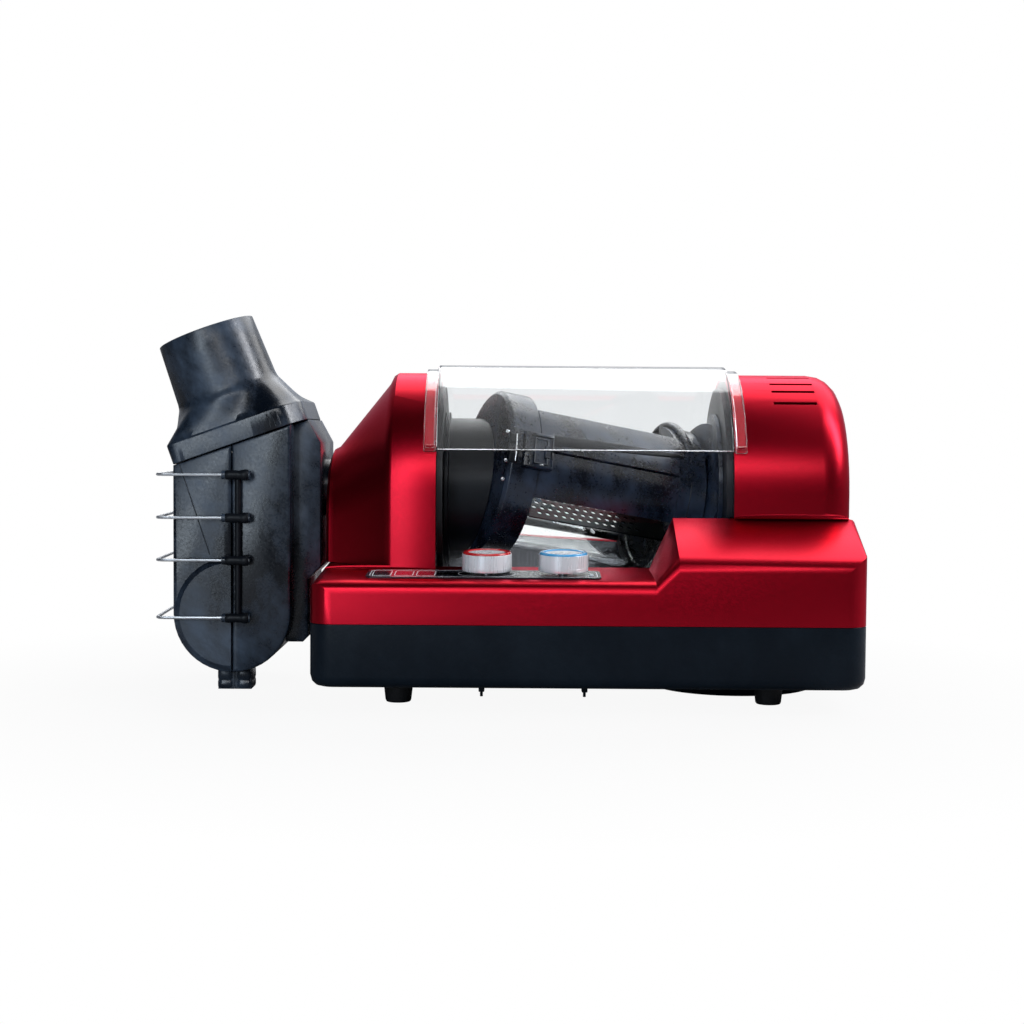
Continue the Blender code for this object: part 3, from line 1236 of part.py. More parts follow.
def make_controls():
    middle_in = OVERLAY_IN + OVERLAY_LENGTH / 2
    middle_back = OVERLAY_BACK + OVERLAY_WIDTH / 2
    frame = on_deck_frame("overlay_frame", middle_in, middle_back)
    slope = math.cos(deck_tilt())
    loops = [rounded_outline(OVERLAY_LENGTH, OVERLAY_WIDTH, OVERLAY_CORNER)]
    for inset in (TEMPERATURE_IN, TIMER_IN):
        loops.append(circle(SHAFT_R + FIT * 2, 20,
                            (inset - middle_in, (KNOB_BACK - middle_back) / slope)))
    overlay = plate("control_overlay", loops, OVERLAY_T, (0, 0, OVERLAY_T / 2 + FIT), UPRIGHT,
                    "label", frame)
    spot = (WINDOW_IN + WINDOW_LENGTH / 2 - middle_in, 0.0, OVERLAY_T / 2 + FIT)
    cut(overlay, plate("window_hole", [rounded_outline(WINDOW_LENGTH, WINDOW_WIDTH,
                                                       WINDOW_WIDTH / 2 - FIT, 6)],
                       OVERRUN, spot, UPRIGHT, parent=frame, cutter=True))
    plate("display_window", [rounded_outline(WINDOW_LENGTH - 2 * FIT, WINDOW_WIDTH - 2 * FIT,
                                             WINDOW_WIDTH / 2 - 2 * FIT, 6)],
          OVERLAY_T, spot, UPRIGHT, "window", frame)
    make_knob("temperature", TEMPERATURE_IN, "heat")
    make_knob("timer", TIMER_IN, "time")
    encoder_low = ENCODER_HEIGHT + WALL + FIT
    board = on_deck_frame("board_frame", (TEMPERATURE_IN + TIMER_IN) / 2, KNOB_BACK)
    block("control_board", (BOARD_LENGTH, BOARD_WIDTH, BOARD_T),
          (0.0, 0.0, -encoder_low - FIT - BOARD_T / 2), "board", parent=board)


def make_knob(name, inset, ring_look):
    """Turned knob and coloured ring on a shaft, a plunger under it and its encoder."""
    frame = on_deck_frame(name + "_axis", inset, KNOB_BACK)
    low = OVERLAY_T + FIT + KNOB_FLOAT
    high = low + KNOB_HEIGHT
    ring_low = high - RING_T
    groove = KNOB_R - RING_WIDTH
    chamfer = RING_T / 3
    knob_profile = [(0.0, high - chamfer), (groove - FIT, high - chamfer),
                    (groove - FIT, ring_low - FIT), (KNOB_R, ring_low - FIT),
                    (KNOB_R, low + chamfer), (KNOB_R - chamfer, low), (SHAFT_R + FIT, low),
                    (SHAFT_R + FIT, high - KNOB_HEIGHT / 3), (0.0, high - KNOB_HEIGHT / 3)]
    turned(name + "_knob", knob_profile, "aluminium", steps=32, parent=frame)
    turned(name + "_ring", [(KNOB_R - chamfer, high), (KNOB_R, high - chamfer),
                            (KNOB_R, ring_low), (groove, ring_low), (groove, high)],
           ring_look, ring=True, steps=32, parent=frame)
    shaft_low = -WALL - FIT - KNOB_TRAVEL
    shaft_high = high - KNOB_HEIGHT / 3 - FIT
    cylinder(name + "_shaft", SHAFT_R, shaft_high - shaft_low,
             (0, 0, (shaft_high + shaft_low) / 2), look="steel", sides=20, parent=frame)
    body_top = -WALL - FIT
    plunger_top = shaft_low - FIT
    plunger_low = body_top - ENCODER_HEIGHT + KNOB_TRAVEL + FIT * 3
    encoder = block(name + "_encoder", (ENCODER_SIDE, ENCODER_SIDE, ENCODER_HEIGHT),
                    (0, 0, body_top - ENCODER_HEIGHT / 2), "black", parent=frame)
    well = cylinder(name + "_encoder_well", PLUNGER_R + FIT, ENCODER_HEIGHT,
                    (0, 0, body_top - ENCODER_HEIGHT / 2 + FIT * 2), sides=24, parent=frame,
                    cutter=True)
    cut(encoder, well)
    cylinder(name + "_plunger", PLUNGER_R, plunger_top - plunger_low,
             (0, 0, (plunger_top + plunger_low) / 2), look="nylon", sides=20, parent=frame)


def make_inlet():
    """Power inlet in the rear wall: a square socket with three blades."""
    z = (FOOT_HEIGHT + SEAM_Z) / 2
    y = BACK - INLET_DEPTH / 2
    x = LEFT + INLET_IN
    inlet = block("power_inlet", (INLET_LENGTH, INLET_DEPTH, INLET_HEIGHT), (x, y, z))
    rim = WALL
    cut(inlet, block("inlet_socket", (INLET_LENGTH - 2 * rim, INLET_DEPTH,
                                      INLET_HEIGHT - 2 * rim),
                     (x, y + rim, z), cutter=True))
    blades = bmesh.new()
    for across, up in BLADE_SHARES:
        shift = Matrix.Translation((across * INLET_LENGTH, -rim / 2, up * INLET_HEIGHT))
        scale = Matrix.Diagonal((rim / 2, INLET_DEPTH - rim * 2, rim * BLADE_HEIGHT_SHARE, 1))
        bmesh.ops.create_cube(blades, size=1, matrix=shift @ scale)
    join(inlet, from_bmesh("inlet_blades", blades, at=(x, y, z), cutter=True))


# Chaff collector

def lid_line(x):
    """Height of the collector's slanted top at a given x."""
    return LID_LINE_Z + (x - (LEFT - SEAM_OUT)) * math.tan(math.radians(LID_SLOPE))


def capsule(seam_gap, inset, side, top_extra):
    """Half of the collector's front outline: side -1 is the door, 1 the body."""
    seam = LEFT - SEAM_OUT
    radius = COLLECTOR_R - inset
    edge = seam + side * seam_gap
    outer = seam + side * radius
    start, end = (270.0, 180.0) if side < 0 else (270.0, 360.0)
    points = [(edge, lid_line(edge) + top_extra), (edge, COLLECTOR_BOTTOM_Z - radius)]
    points += arc(radius, start, end, 12, (seam, COLLECTOR_BOTTOM_Z))[1:]
    points.append((outer, lid_line(outer) + top_extra))
    return points


def plenum(inset, top_extra):
    """Outline of the set-back box beside the collector, which meets the roaster's end."""
    left = LEFT - SEAM_OUT + COLLECTOR_R / 3
    right = LEFT - PLENUM_OUT - inset
    step = right - PLENUM_STEP
    low = PLENUM_LOW_Z + inset
    high = PLENUM_STEP_Z + inset
    chamfer = PLENUM_CHAMFER
    return [(left, lid_line(left) + top_extra), (left, low), (step - COLLECTOR_EDGE, low),
            (step, low + COLLECTOR_EDGE), (step, high), (right, high + PLENUM_STEP),
            (right, lid_line(right) - chamfer), (step, lid_line(step) + top_extra)]


def front_piece(name, outline, back, depth, look="satin_black", edge=0.0, cutter=False):
    """Extrude a front outline back from a depth, with its front and rear rims rounded."""
    piece = plate(name, [outline], depth, (0, FRONT + back + depth / 2, 0), FACING_FRONT, look,
                  cutter=cutter)
    if edge > 0:
        shape = bmesh.new()
        shape.from_mesh(piece.data)
        bmesh.ops.dissolve_limit(shape, angle_limit=math.radians(1.0), verts=shape.verts[:],
                                 edges=shape.edges[:])
        faces = [f for f in shape.faces if abs(f.normal.z) > 0.9]
        rims = {e for f in faces for e in f.edges}
        bmesh.ops.bevel(shape, geom=list(rims), offset=edge, segments=2, profile=0.5,
                        affect="EDGES")
        shape.to_mesh(piece.data)
        shape.free()
        smooth(piece)
    return piece


def make_collector():
    seam = LEFT - SEAM_OUT
    slide = empty("collector_axis", (seam, AXIS_Y, AXIS_Z))
    hinge_y = FRONT + COLLECTOR_BACK + COLLECTOR_DEPTH + KNUCKLE_R
    wall = COLLECTOR_WALL
    body = front_piece("collector_body", capsule(FIT / 2, 0.0, 1, -FIT), COLLECTOR_BACK,
                       COLLECTOR_DEPTH, edge=COLLECTOR_EDGE / 2)
    join(body, front_piece("plenum_box", plenum(0.0, -FIT), PLENUM_BACK, PLENUM_DEPTH,
                           edge=COLLECTOR_EDGE / 2, cutter=True))
    cut(body, front_piece("body_hollow", capsule(-OVERRUN, wall, 1, OVERRUN),
                          COLLECTOR_BACK + wall, COLLECTOR_DEPTH - 2 * wall, cutter=True))
    cut(body, front_piece("plenum_hollow", plenum(wall, OVERRUN), PLENUM_BACK + wall,
                          PLENUM_DEPTH - 2 * wall, cutter=True))
    port_x = LEFT - PLENUM_OUT
    reach = SPIGOT_REACH + PLENUM_OUT
    join(body, cylinder("spigot", SPIGOT_R, reach + wall,
                        (port_x + reach / 2 - wall / 2, AXIS_Y, AXIS_Z), AXLE, cutter=True))
    cut(body, cylinder("spigot_bore", SPIGOT_R - SPIGOT_T, reach * 4,
                       (port_x, AXIS_Y, AXIS_Z), AXLE, cutter=True))
    door = front_piece("collector_door", capsule(FIT / 2, 0.0, -1, -FIT), COLLECTOR_BACK,
                       COLLECTOR_DEPTH, edge=COLLECTOR_EDGE / 2)
    boss_r = COLLECTOR_R * BOSS_FOOT_SHARE
    join(door, turned("door_boss", [(0.0, BOSS_LIFT + wall),
                                    (COLLECTOR_R * BOSS_FACE_SHARE, BOSS_LIFT + wall),
                                    (boss_r, wall), (boss_r, 0.0), (0.0, 0.0)],
                      at=(seam, FRONT + COLLECTOR_BACK + wall, COLLECTOR_BOTTOM_Z),
                      turn=FACING_FRONT, steps=40, cutter=True))
    cut(door, block("boss_trim", (COLLECTOR_R * 2, COLLECTOR_DEPTH, COLLECTOR_R * 3),
                    (seam + COLLECTOR_R - FIT / 2, FRONT + COLLECTOR_BACK, COLLECTOR_BOTTOM_Z),
                    cutter=True))
    cut(door, front_piece("door_hollow", capsule(-OVERRUN, wall, -1, OVERRUN),
                          COLLECTOR_BACK + wall, COLLECTOR_DEPTH - 2 * wall, cutter=True))
    add_feet(body, door, seam)
    add_knuckles(body, door, seam, hinge_y)
    add_clips(door, seam)
    wires = make_wires(seam)
    hood, screen = make_hood()
    hang(slide, body)
    hinge = empty("collector_hinge_axis", (seam, hinge_y, COLLECTOR_BOTTOM_Z))
    hang(hinge, door, hood, screen, *wires)
    return slide


def add_feet(body, door, seam):
    """Half a foot under each half of the collector."""
    top = COLLECTOR_BOTTOM_Z - COLLECTOR_R + COLLECTOR_WALL / 2
    width = COLLECTOR_FOOT_WIDTH / 2 - FIT / 2
    for piece, side in ((body, 1), (door, -1)):
        middle = (seam + side * (FIT / 2 + width / 2),
                  FRONT + COLLECTOR_FOOT_BACK + COLLECTOR_FOOT_DEPTH / 2, top / 2)
        join(piece, block("collector_foot_%d" % side, (width, COLLECTOR_FOOT_DEPTH, top),
                          middle, cutter=True))


def add_knuckles(body, door, seam, hinge_y):
    """Hinge knuckles behind the seam, two on the body and one on the door, and their pin."""
    low = COLLECTOR_BOTTOM_Z
    for index, (start, end) in enumerate(zip(KNUCKLE_SHARES, KNUCKLE_SHARES[1:])):
        owner, side = (door, -1) if index == 1 else (body, 1)
        height = (end - start) * KNUCKLE_SPAN - RUNNING
        middle_z = low + (start + end) / 2 * KNUCKLE_SPAN
        join(owner, cylinder("knuckle_%d" % index, KNUCKLE_R, height, (seam, hinge_y, middle_z),
                             sides=20, cutter=True))
        join(owner, block("knuckle_web_%d" % index, (KNUCKLE_R, KNUCKLE_R * 2, height),
                          (seam + side * (KNUCKLE_R / 2 + FIT), hinge_y - KNUCKLE_R / 2,
                           middle_z), cutter=True))
    cut(door, cylinder("door_knuckle_bore", HINGE_PIN_R + FIT, KNUCKLE_SPAN * 2,
                       (seam, hinge_y, low), sides=16, cutter=True))
    join(body, cylinder("hinge_pin", HINGE_PIN_R, KNUCKLE_SPAN - 2 * RUNNING,
                        (seam, hinge_y, low + KNUCKLE_SPAN / 2), sides=16, cutter=True))


def add_clips(door, seam):
    """Black sleeves on the door that hold the ends of each guard wire."""
    front_y = FRONT + COLLECTOR_BACK - WIRE_STAND
    rear_y = FRONT + COLLECTOR_BACK + COLLECTOR_DEPTH + WIRE_STAND
    root = COLLECTOR_WALL / 2
    for index, z in enumerate(WIRE_HEIGHTS):
        join(door, cylinder("clip_%d" % index, CLIP_R, CLIP_LENGTH,
                            (seam + CLIP_LENGTH / 2 - CLIP_R * 2, front_y, z), AXLE, sides=16,
                            cutter=True))
        reach = WIRE_STAND + root
        join(door, block("clip_post_%d" % index, (CLIP_R * CLIP_POST_SHARE, reach, CLIP_R),
                         (seam - CLIP_R * 1.5, front_y + reach / 2, z), cutter=True))
        reach = WIRE_STAND + CLIP_R + root
        join(door, block("rear_clip_%d" % index, (CLIP_R * 2, reach, CLIP_R * 2),
                         (seam - CLIP_REAR_INSET + CLIP_R, rear_y + CLIP_R - reach / 2, z),
                         cutter=True))


def make_wires(seam):
    """Four spring-wire finger guards, each a loop round the left side of the door."""
    front_y = FRONT + COLLECTOR_BACK - WIRE_STAND
    rear_y = FRONT + COLLECTOR_BACK + COLLECTOR_DEPTH + WIRE_STAND
    near = seam - WIRE_REACH
    far = near - WIRE_SPLAY
    wires = []
    for index, z in enumerate(WIRE_HEIGHTS):
        path = [(seam - CLIP_R * 2 - FIT, front_y, z)]
        path += [(x, y, z) for x, y in arc(WIRE_BEND, 270.0, 180.0, 4,
                                           (near + WIRE_BEND, front_y + WIRE_BEND))]
        path += [(x, y, z) for x, y in arc(WIRE_BEND, 180.0, 90.0, 4,
                                           (far + WIRE_BEND, rear_y - WIRE_BEND))]
        path.append((seam - CLIP_REAR_INSET - FIT, rear_y, z))
        wires.append(rod("guard_wire_%d" % (index + 1), path, WIRE_R, "steel", sides=2))
    return wires


def hood_outline(lip, inset):
    """Plan of the hood as (x, depth) points, walked round with a set-back right rear part."""
    seam = LEFT - SEAM_OUT
    left = seam - COLLECTOR_R - lip + inset
    middle = seam + COLLECTOR_R + lip - inset - PLENUM_STEP / 2
    right = LEFT - PLENUM_OUT - PLENUM_STEP - inset + lip
    front = COLLECTOR_BACK - lip + inset
    rear = COLLECTOR_BACK + COLLECTOR_DEPTH + lip - inset
    shelf = PLENUM_BACK - lip + inset
    shelf_rear = PLENUM_BACK + PLENUM_DEPTH + lip - inset
    corners = [(left, front), (middle, front), (middle + PLENUM_STEP / 2, shelf),
               (right, shelf), (right, shelf_rear), (middle + PLENUM_STEP / 2, shelf_rear),
               (middle, rear), (left, rear)]
    rays = [Vector(((x - LEFT + CHIMNEY_OUT) / math.cos(CHIMNEY_LEAN), y - CHIMNEY_BACK))
            for x, y in corners]
    points = []
    for start, end in zip(rays, rays[1:] + rays[:1]):
        first = math.atan2(start.y, start.x)
        sweep = (math.atan2(end.y, end.x) - first) % TAU
        steps = max(1, round(sweep / TAU * HOOD_SIDES))
        for i in range(steps):
            out = first + sweep * i / steps
            ray = Vector((math.cos(out), math.sin(out)))
            share = start.cross(ray) / (start - end).cross(ray)
            spot = start + (end - start) * share
            points.append((LEFT - CHIMNEY_OUT + spot.x * math.cos(CHIMNEY_LEAN),
                           FRONT + CHIMNEY_BACK + spot.y))
    return points


def hood_sections(inset, overrun):
    """Slanted band, a swept shoulder and the leaning chimney."""
    lean = CHIMNEY_LEAN
    base = Vector((LEFT - CHIMNEY_OUT, FRONT + CHIMNEY_BACK, CHIMNEY_BASE_Z))
    across = Vector((math.cos(lean), 0.0, math.sin(lean)))
    along = Vector((-math.sin(lean), 0.0, math.cos(lean)))
    deep = Vector((0.0, 1.0, 0.0))
    outline = hood_outline(HOOD_LIP, inset)
    slope = math.radians(LID_SLOPE)
    up = Vector((-math.sin(slope), 0.0, math.cos(slope)))

    def band(lift, shrink):
        middle_x = sum(x for x, _ in outline) / len(outline)
        middle_y = sum(y for _, y in outline) / len(outline)
        points = []
        for x, y in outline:
            x_in = middle_x + (x - middle_x) * shrink
            y_in = middle_y + (y - middle_y) * shrink
            points.append(Vector((x_in, y_in, lid_line(x_in))) + up * lift)
        return points

    def ring(radius, lift):
        points = []
        for x, y in outline:
            out = math.atan2(y - base.y, (x - base.x) / math.cos(lean))
            points.append(base + along * lift + across * radius * math.cos(out)
                          + deep * radius * math.sin(out))
        return points

    shoulder = [low * SHOULDER_SHARE + high * (1 - SHOULDER_SHARE)
                for low, high in zip(band(HOOD_BAND * SHOULDER_LIFT_SHARE,
                                           SHOULDER_SHRINK_SHARE),
                                      ring(CHIMNEY_R * SHOULDER_RING_SHARE, 0.0))]
    first = -overrun if overrun > 0 else 0.0
    return [band(first + FIT, 1.0), band(HOOD_BAND, 1.0), shoulder,
            ring(CHIMNEY_R * COLLAR_SHARE - inset, 0.0),
            ring(CHIMNEY_R - inset, CHIMNEY_LENGTH * COLLAR_HEIGHT_SHARE),
            ring(RIM_R - inset, CHIMNEY_LENGTH + overrun)]


def make_hood():
    hood = loft("collector_hood", hood_sections(0.0, 0.0), "satin_black")
    cut(hood, loft("hood_hollow", hood_sections(CHIMNEY_T, OVERRUN), cutter=True))
    return hood, make_screen(hood)


def make_screen(hood):
    """Chaff screen in the mouth of the chimney, with rings of holes."""
    lean = CHIMNEY_LEAN
    along = Vector((-math.sin(lean), 0.0, math.cos(lean)))
    base = Vector((LEFT - CHIMNEY_OUT, FRONT + CHIMNEY_BACK, CHIMNEY_BASE_Z))
    spot = base + along * CHIMNEY_LENGTH * SCREEN_HEIGHT_SHARE
    ledge = base + along * (CHIMNEY_LENGTH * SCREEN_HEIGHT_SHARE - SCREEN_T)
    seat = turned("screen_seat", ring_profile(CHIMNEY_R - CHIMNEY_T / 2,
                                              CHIMNEY_R - CHIMNEY_T * 2, -SCREEN_T, SCREEN_T / 2),
                  at=ledge, turn=(0.0, -lean, 0.0), ring=True, steps=40, cutter=True)
    join(hood, seat)
    radius = (CHIMNEY_R - CHIMNEY_T - CHIMNEY_TAPER * SCREEN_HEIGHT_SHARE) * math.cos(math.pi / 30) - FIT
    loops = [circle(radius, 32)]
    for ring, count in SCREEN_RING_SHARES:
        loops += [circle(radius * SCREEN_HOLE_SHARE, 6, middle) for middle in circle(radius * ring, count)]
    return plate("collector_screen", loops, SCREEN_T, spot, (0.0, -lean, 0.0), "steel")


make_base()
make_grille()
make_top_housing()
make_liner()
make_towers()
make_wall("left_wall", LEFT_WALL_X, -1, "black")
make_wall("right_wall", RIGHT_WALL_X, 1, "black")
make_cover()
make_drum()
make_drive()
make_blower()
make_exhaust()
make_controls()
make_inlet()
make_collector()
bpy.context.view_layer.update()
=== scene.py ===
"""Looks of the home coffee bean roaster: finishes, fine pieces, studio and camera.

Lengths are in metres. X runs along the base from left to right, Y from front to back, Z up.
A fine piece is a grid of points or a profile turned or carried along a path. All others are the solid's
own form with its edges rounded.
"""
import json

import bmesh
import bpy
import numpy as np
from mathutils import Matrix, Vector

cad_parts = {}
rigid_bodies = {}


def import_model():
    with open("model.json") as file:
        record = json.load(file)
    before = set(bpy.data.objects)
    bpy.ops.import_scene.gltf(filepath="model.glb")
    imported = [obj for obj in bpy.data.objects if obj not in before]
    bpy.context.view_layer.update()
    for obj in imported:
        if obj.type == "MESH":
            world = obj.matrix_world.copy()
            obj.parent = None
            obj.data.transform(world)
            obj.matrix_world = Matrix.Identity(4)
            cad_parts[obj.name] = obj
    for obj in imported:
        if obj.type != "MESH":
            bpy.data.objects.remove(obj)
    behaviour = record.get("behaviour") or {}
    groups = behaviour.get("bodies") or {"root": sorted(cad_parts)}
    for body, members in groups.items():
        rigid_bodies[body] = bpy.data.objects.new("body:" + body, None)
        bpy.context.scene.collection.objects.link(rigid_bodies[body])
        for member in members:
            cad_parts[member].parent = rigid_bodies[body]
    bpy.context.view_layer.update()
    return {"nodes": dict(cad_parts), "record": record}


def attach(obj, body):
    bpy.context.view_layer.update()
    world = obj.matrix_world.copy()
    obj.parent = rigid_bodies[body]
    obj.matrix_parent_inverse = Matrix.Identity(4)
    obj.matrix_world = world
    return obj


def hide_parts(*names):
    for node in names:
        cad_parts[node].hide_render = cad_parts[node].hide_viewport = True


for leftover in list(bpy.data.objects):
    bpy.data.objects.remove(leftover)
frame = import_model()
NODES = frame["nodes"]
BODY_OF = {node: body for body, nodes in frame["record"]["behaviour"]["bodies"].items() for node in nodes}


# ---------------------------------------------------------------- finishes

def new_finish(name):
    """An empty finish: its node tree, its surface shader and a reader of the piece's own coordinates."""
    finish = bpy.data.materials.new(name)
    finish.use_nodes = True
    tree = finish.node_tree
    shader = tree.nodes["Principled BSDF"]
    place = tree.nodes.new("ShaderNodeTexCoord")
    return finish, tree, shader, place.outputs["Object"]


def speckle(tree, place, size, detail=3.0, stretch=(1, 1, 1), turn=(0, 0, 0), rough=.55):
    """Noise whose lumps are `size` across, drawn out by `stretch` after the pattern is turned."""
    lay = tree.nodes.new("ShaderNodeMapping")
    lay.vector_type = "TEXTURE"
    lay.inputs["Rotation"].default_value = turn
    lay.inputs["Scale"].default_value = stretch
    noise = tree.nodes.new("ShaderNodeTexNoise")
    noise.inputs["Scale"].default_value = .5 / size
    noise.inputs["Detail"].default_value = detail
    noise.inputs["Roughness"].default_value = rough
    tree.links.new(place, lay.inputs["Vector"])
    tree.links.new(lay.outputs["Vector"], noise.inputs["Vector"])
    return noise.outputs["Fac"]


def spread(tree, value, low, high, start=.3, end=.7):
    """Stretches a pattern's start to end over low to high."""
    node = tree.nodes.new("ShaderNodeMapRange")
    node.inputs["From Min"].default_value = start
    node.inputs["From Max"].default_value = end
    node.inputs["To Min"].default_value = low
    node.inputs["To Max"].default_value = high
    tree.links.new(value, node.inputs["Value"])
    return node.outputs["Result"]


def blend_tones(tree, value, first, second, start=.35, end=.65):
    """Goes from the first tone to the second as the pattern goes from start to end."""
    ramp = tree.nodes.new("ShaderNodeValToRGB")
    ramp.color_ramp.elements[0].position = start
    ramp.color_ramp.elements[1].position = end
    ramp.color_ramp.elements[0].color = (*first, 1)
    ramp.color_ramp.elements[1].color = (*second, 1)
    tree.links.new(value, ramp.inputs["Fac"])
    return ramp.outputs["Color"]


def reckon(tree, operation, *values):
    """One step of arithmetic over patterns and plain numbers."""
    node = tree.nodes.new("ShaderNodeMath")
    node.operation = operation
    for socket, value in zip(node.inputs, values):
        if isinstance(value, float):
            socket.default_value = value
        else:
            tree.links.new(value, socket)
    return node.outputs[0]


def feed(tree, shader, tone, roughness):
    """Links the surface's tone and roughness."""
    tree.links.new(tone, shader.inputs["Base Color"])
    tree.links.new(roughness, shader.inputs["Roughness"])


def relief(tree, shader, *layers):
    """Raises each pattern by its depth in metres, one over the other, into the surface's normal."""
    under = None
    for value, depth in layers:
        bump = tree.nodes.new("ShaderNodeBump")
        bump.inputs["Distance"].default_value = depth
        tree.links.new(value, bump.inputs["Height"])
        if under:
            tree.links.new(under, bump.inputs["Normal"])
        under = bump.outputs["Normal"]
    tree.links.new(under, shader.inputs["Normal"])


def set_shader(shader, **values):
    """Sets the shader's own sockets, with underscores for blanks."""
    for name, value in values.items():
        shader.inputs[name.replace("_", " ").title().replace("Ior", "IOR")].default_value = value


def moulded(name, tone, second, patch, grain, depth, gloss, **sockets):
    """Moulded plastic or paint: two tones drift over patches, and a fine grain lifts and dulls the skin."""
    finish, tree, shader, place = new_finish(name)
    drift = speckle(tree, place, patch, 4.0)
    skin = speckle(tree, place, grain, 2.0)
    feed(tree, shader, blend_tones(tree, drift, tone, second),
         reckon(tree, "ADD", spread(tree, drift, *gloss), spread(tree, skin, -.04, .04)))
    relief(tree, shader, (skin, depth), (drift, depth * 1.5))
    set_shader(shader, **sockets)
    return finish


def drawn_metal(name, tone, second, streak, along, gloss, **sockets):
    """Drawn or brushed metal: hair-fine streaks drawn out by `along`, with dull patches. On the knobs, drawn up
    the wall, the streaks' two tones are painted reflection bands.
    """
    finish, tree, shader, place = new_finish(name)
    hair = speckle(tree, place, streak, 3.0, along, rough=.7)
    patch = speckle(tree, place, .018, 3.0)
    feed(tree, shader, blend_tones(tree, hair, tone, second, .25, .75),
         reckon(tree, "ADD", spread(tree, hair, *gloss), spread(tree, patch, -.03, .05)))
    relief(tree, shader, (hair, .00002))
    set_shader(shader, **{"metallic": 1.0, **sockets})
    return finish


def clear_plastic(name, tone, gloss, ior, **sockets):
    """Clear plastic or glass: faint flow lines bend what shows through, and fingerprints dull it in places."""
    finish, tree, shader, place = new_finish(name)
    flow = speckle(tree, place, .05, 2.0, (3, 1, 1))
    wisps = speckle(tree, place, .012, 5.0)
    paler = tuple(min(1, part + .02) for part in tone)
    feed(tree, shader, blend_tones(tree, flow, tone, paler), spread(tree, wisps, *gloss, .45, .75))
    relief(tree, shader, (flow, .00004))
    set_shader(shader, transmission_weight=1.0, ior=ior, **sockets)
    return finish


def candy_paint():
    """Candy red: a metal ground with fine flakes under a thin satin coat that has a faint orange peel."""
    finish, tree, shader, place = new_finish("candy_red")
    drift = speckle(tree, place, .09, 2.0)
    flake = speckle(tree, place, .0005, 1.0)
    peel = speckle(tree, place, .003, 2.0)
    feed(tree, shader, blend_tones(tree, drift, (.40, .0008, .012), (.46, .0011, .015)),
         spread(tree, flake, .30, .40))
    relief(tree, shader, (flake, .000012), (peel, .00002))
    set_shader(shader, metallic=1.0, specular_tint=(1, .42, .52, 1), coat_weight=.18, coat_roughness=.30,
               coat_ior=1.5)
    return finish


def label_film():
    """The control label's dark satin film."""
    finish, tree, shader, place = new_finish("control_label")
    grain = speckle(tree, place, .0006, 2.0)
    drift = speckle(tree, place, .03, 3.0)
    feed(tree, shader, blend_tones(tree, drift, (.010, .012, .018), (.018, .021, .030)),
         spread(tree, grain, .20, .34))
    relief(tree, shader, (grain, .00001))
    set_shader(shader, coat_weight=.4, coat_roughness=.12)
    return finish


def cloud_drift_and_sheen(name, deep, pale, gloss, grain, depth, specular):
    """Dark satin plastic: cloudy paler patches over a deep tone, duller where pale. On the collector and the drum
    the pale patches are painted sheen; on the tub they are a faint tone drift.
    """
    finish, tree, shader, place = new_finish(name)
    cloud = speckle(tree, place, .022, 5.0, (1, 1, 1.6), rough=.62)
    wisps = speckle(tree, place, .0045, 4.0, (2.2, 1, 1), (0, .6, 0), rough=.65)
    skin = speckle(tree, place, grain, 2.0)
    # Where clouds and wisps meet, the tone turns pale: painted sheen on the collector and the drum.
    both = reckon(tree, "MULTIPLY", spread(tree, cloud, 0, 1, .43, .65), spread(tree, wisps, .45, 1, .35, .65))
    feed(tree, shader, blend_tones(tree, both, deep, pale, 0, 1),
         reckon(tree, "ADD", spread(tree, both, *gloss, 0, 1), spread(tree, skin, -.05, .05)))
    relief(tree, shader, (skin, depth), (wisps, depth * 2))
    set_shader(shader, specular_ior_level=specular)
    return finish


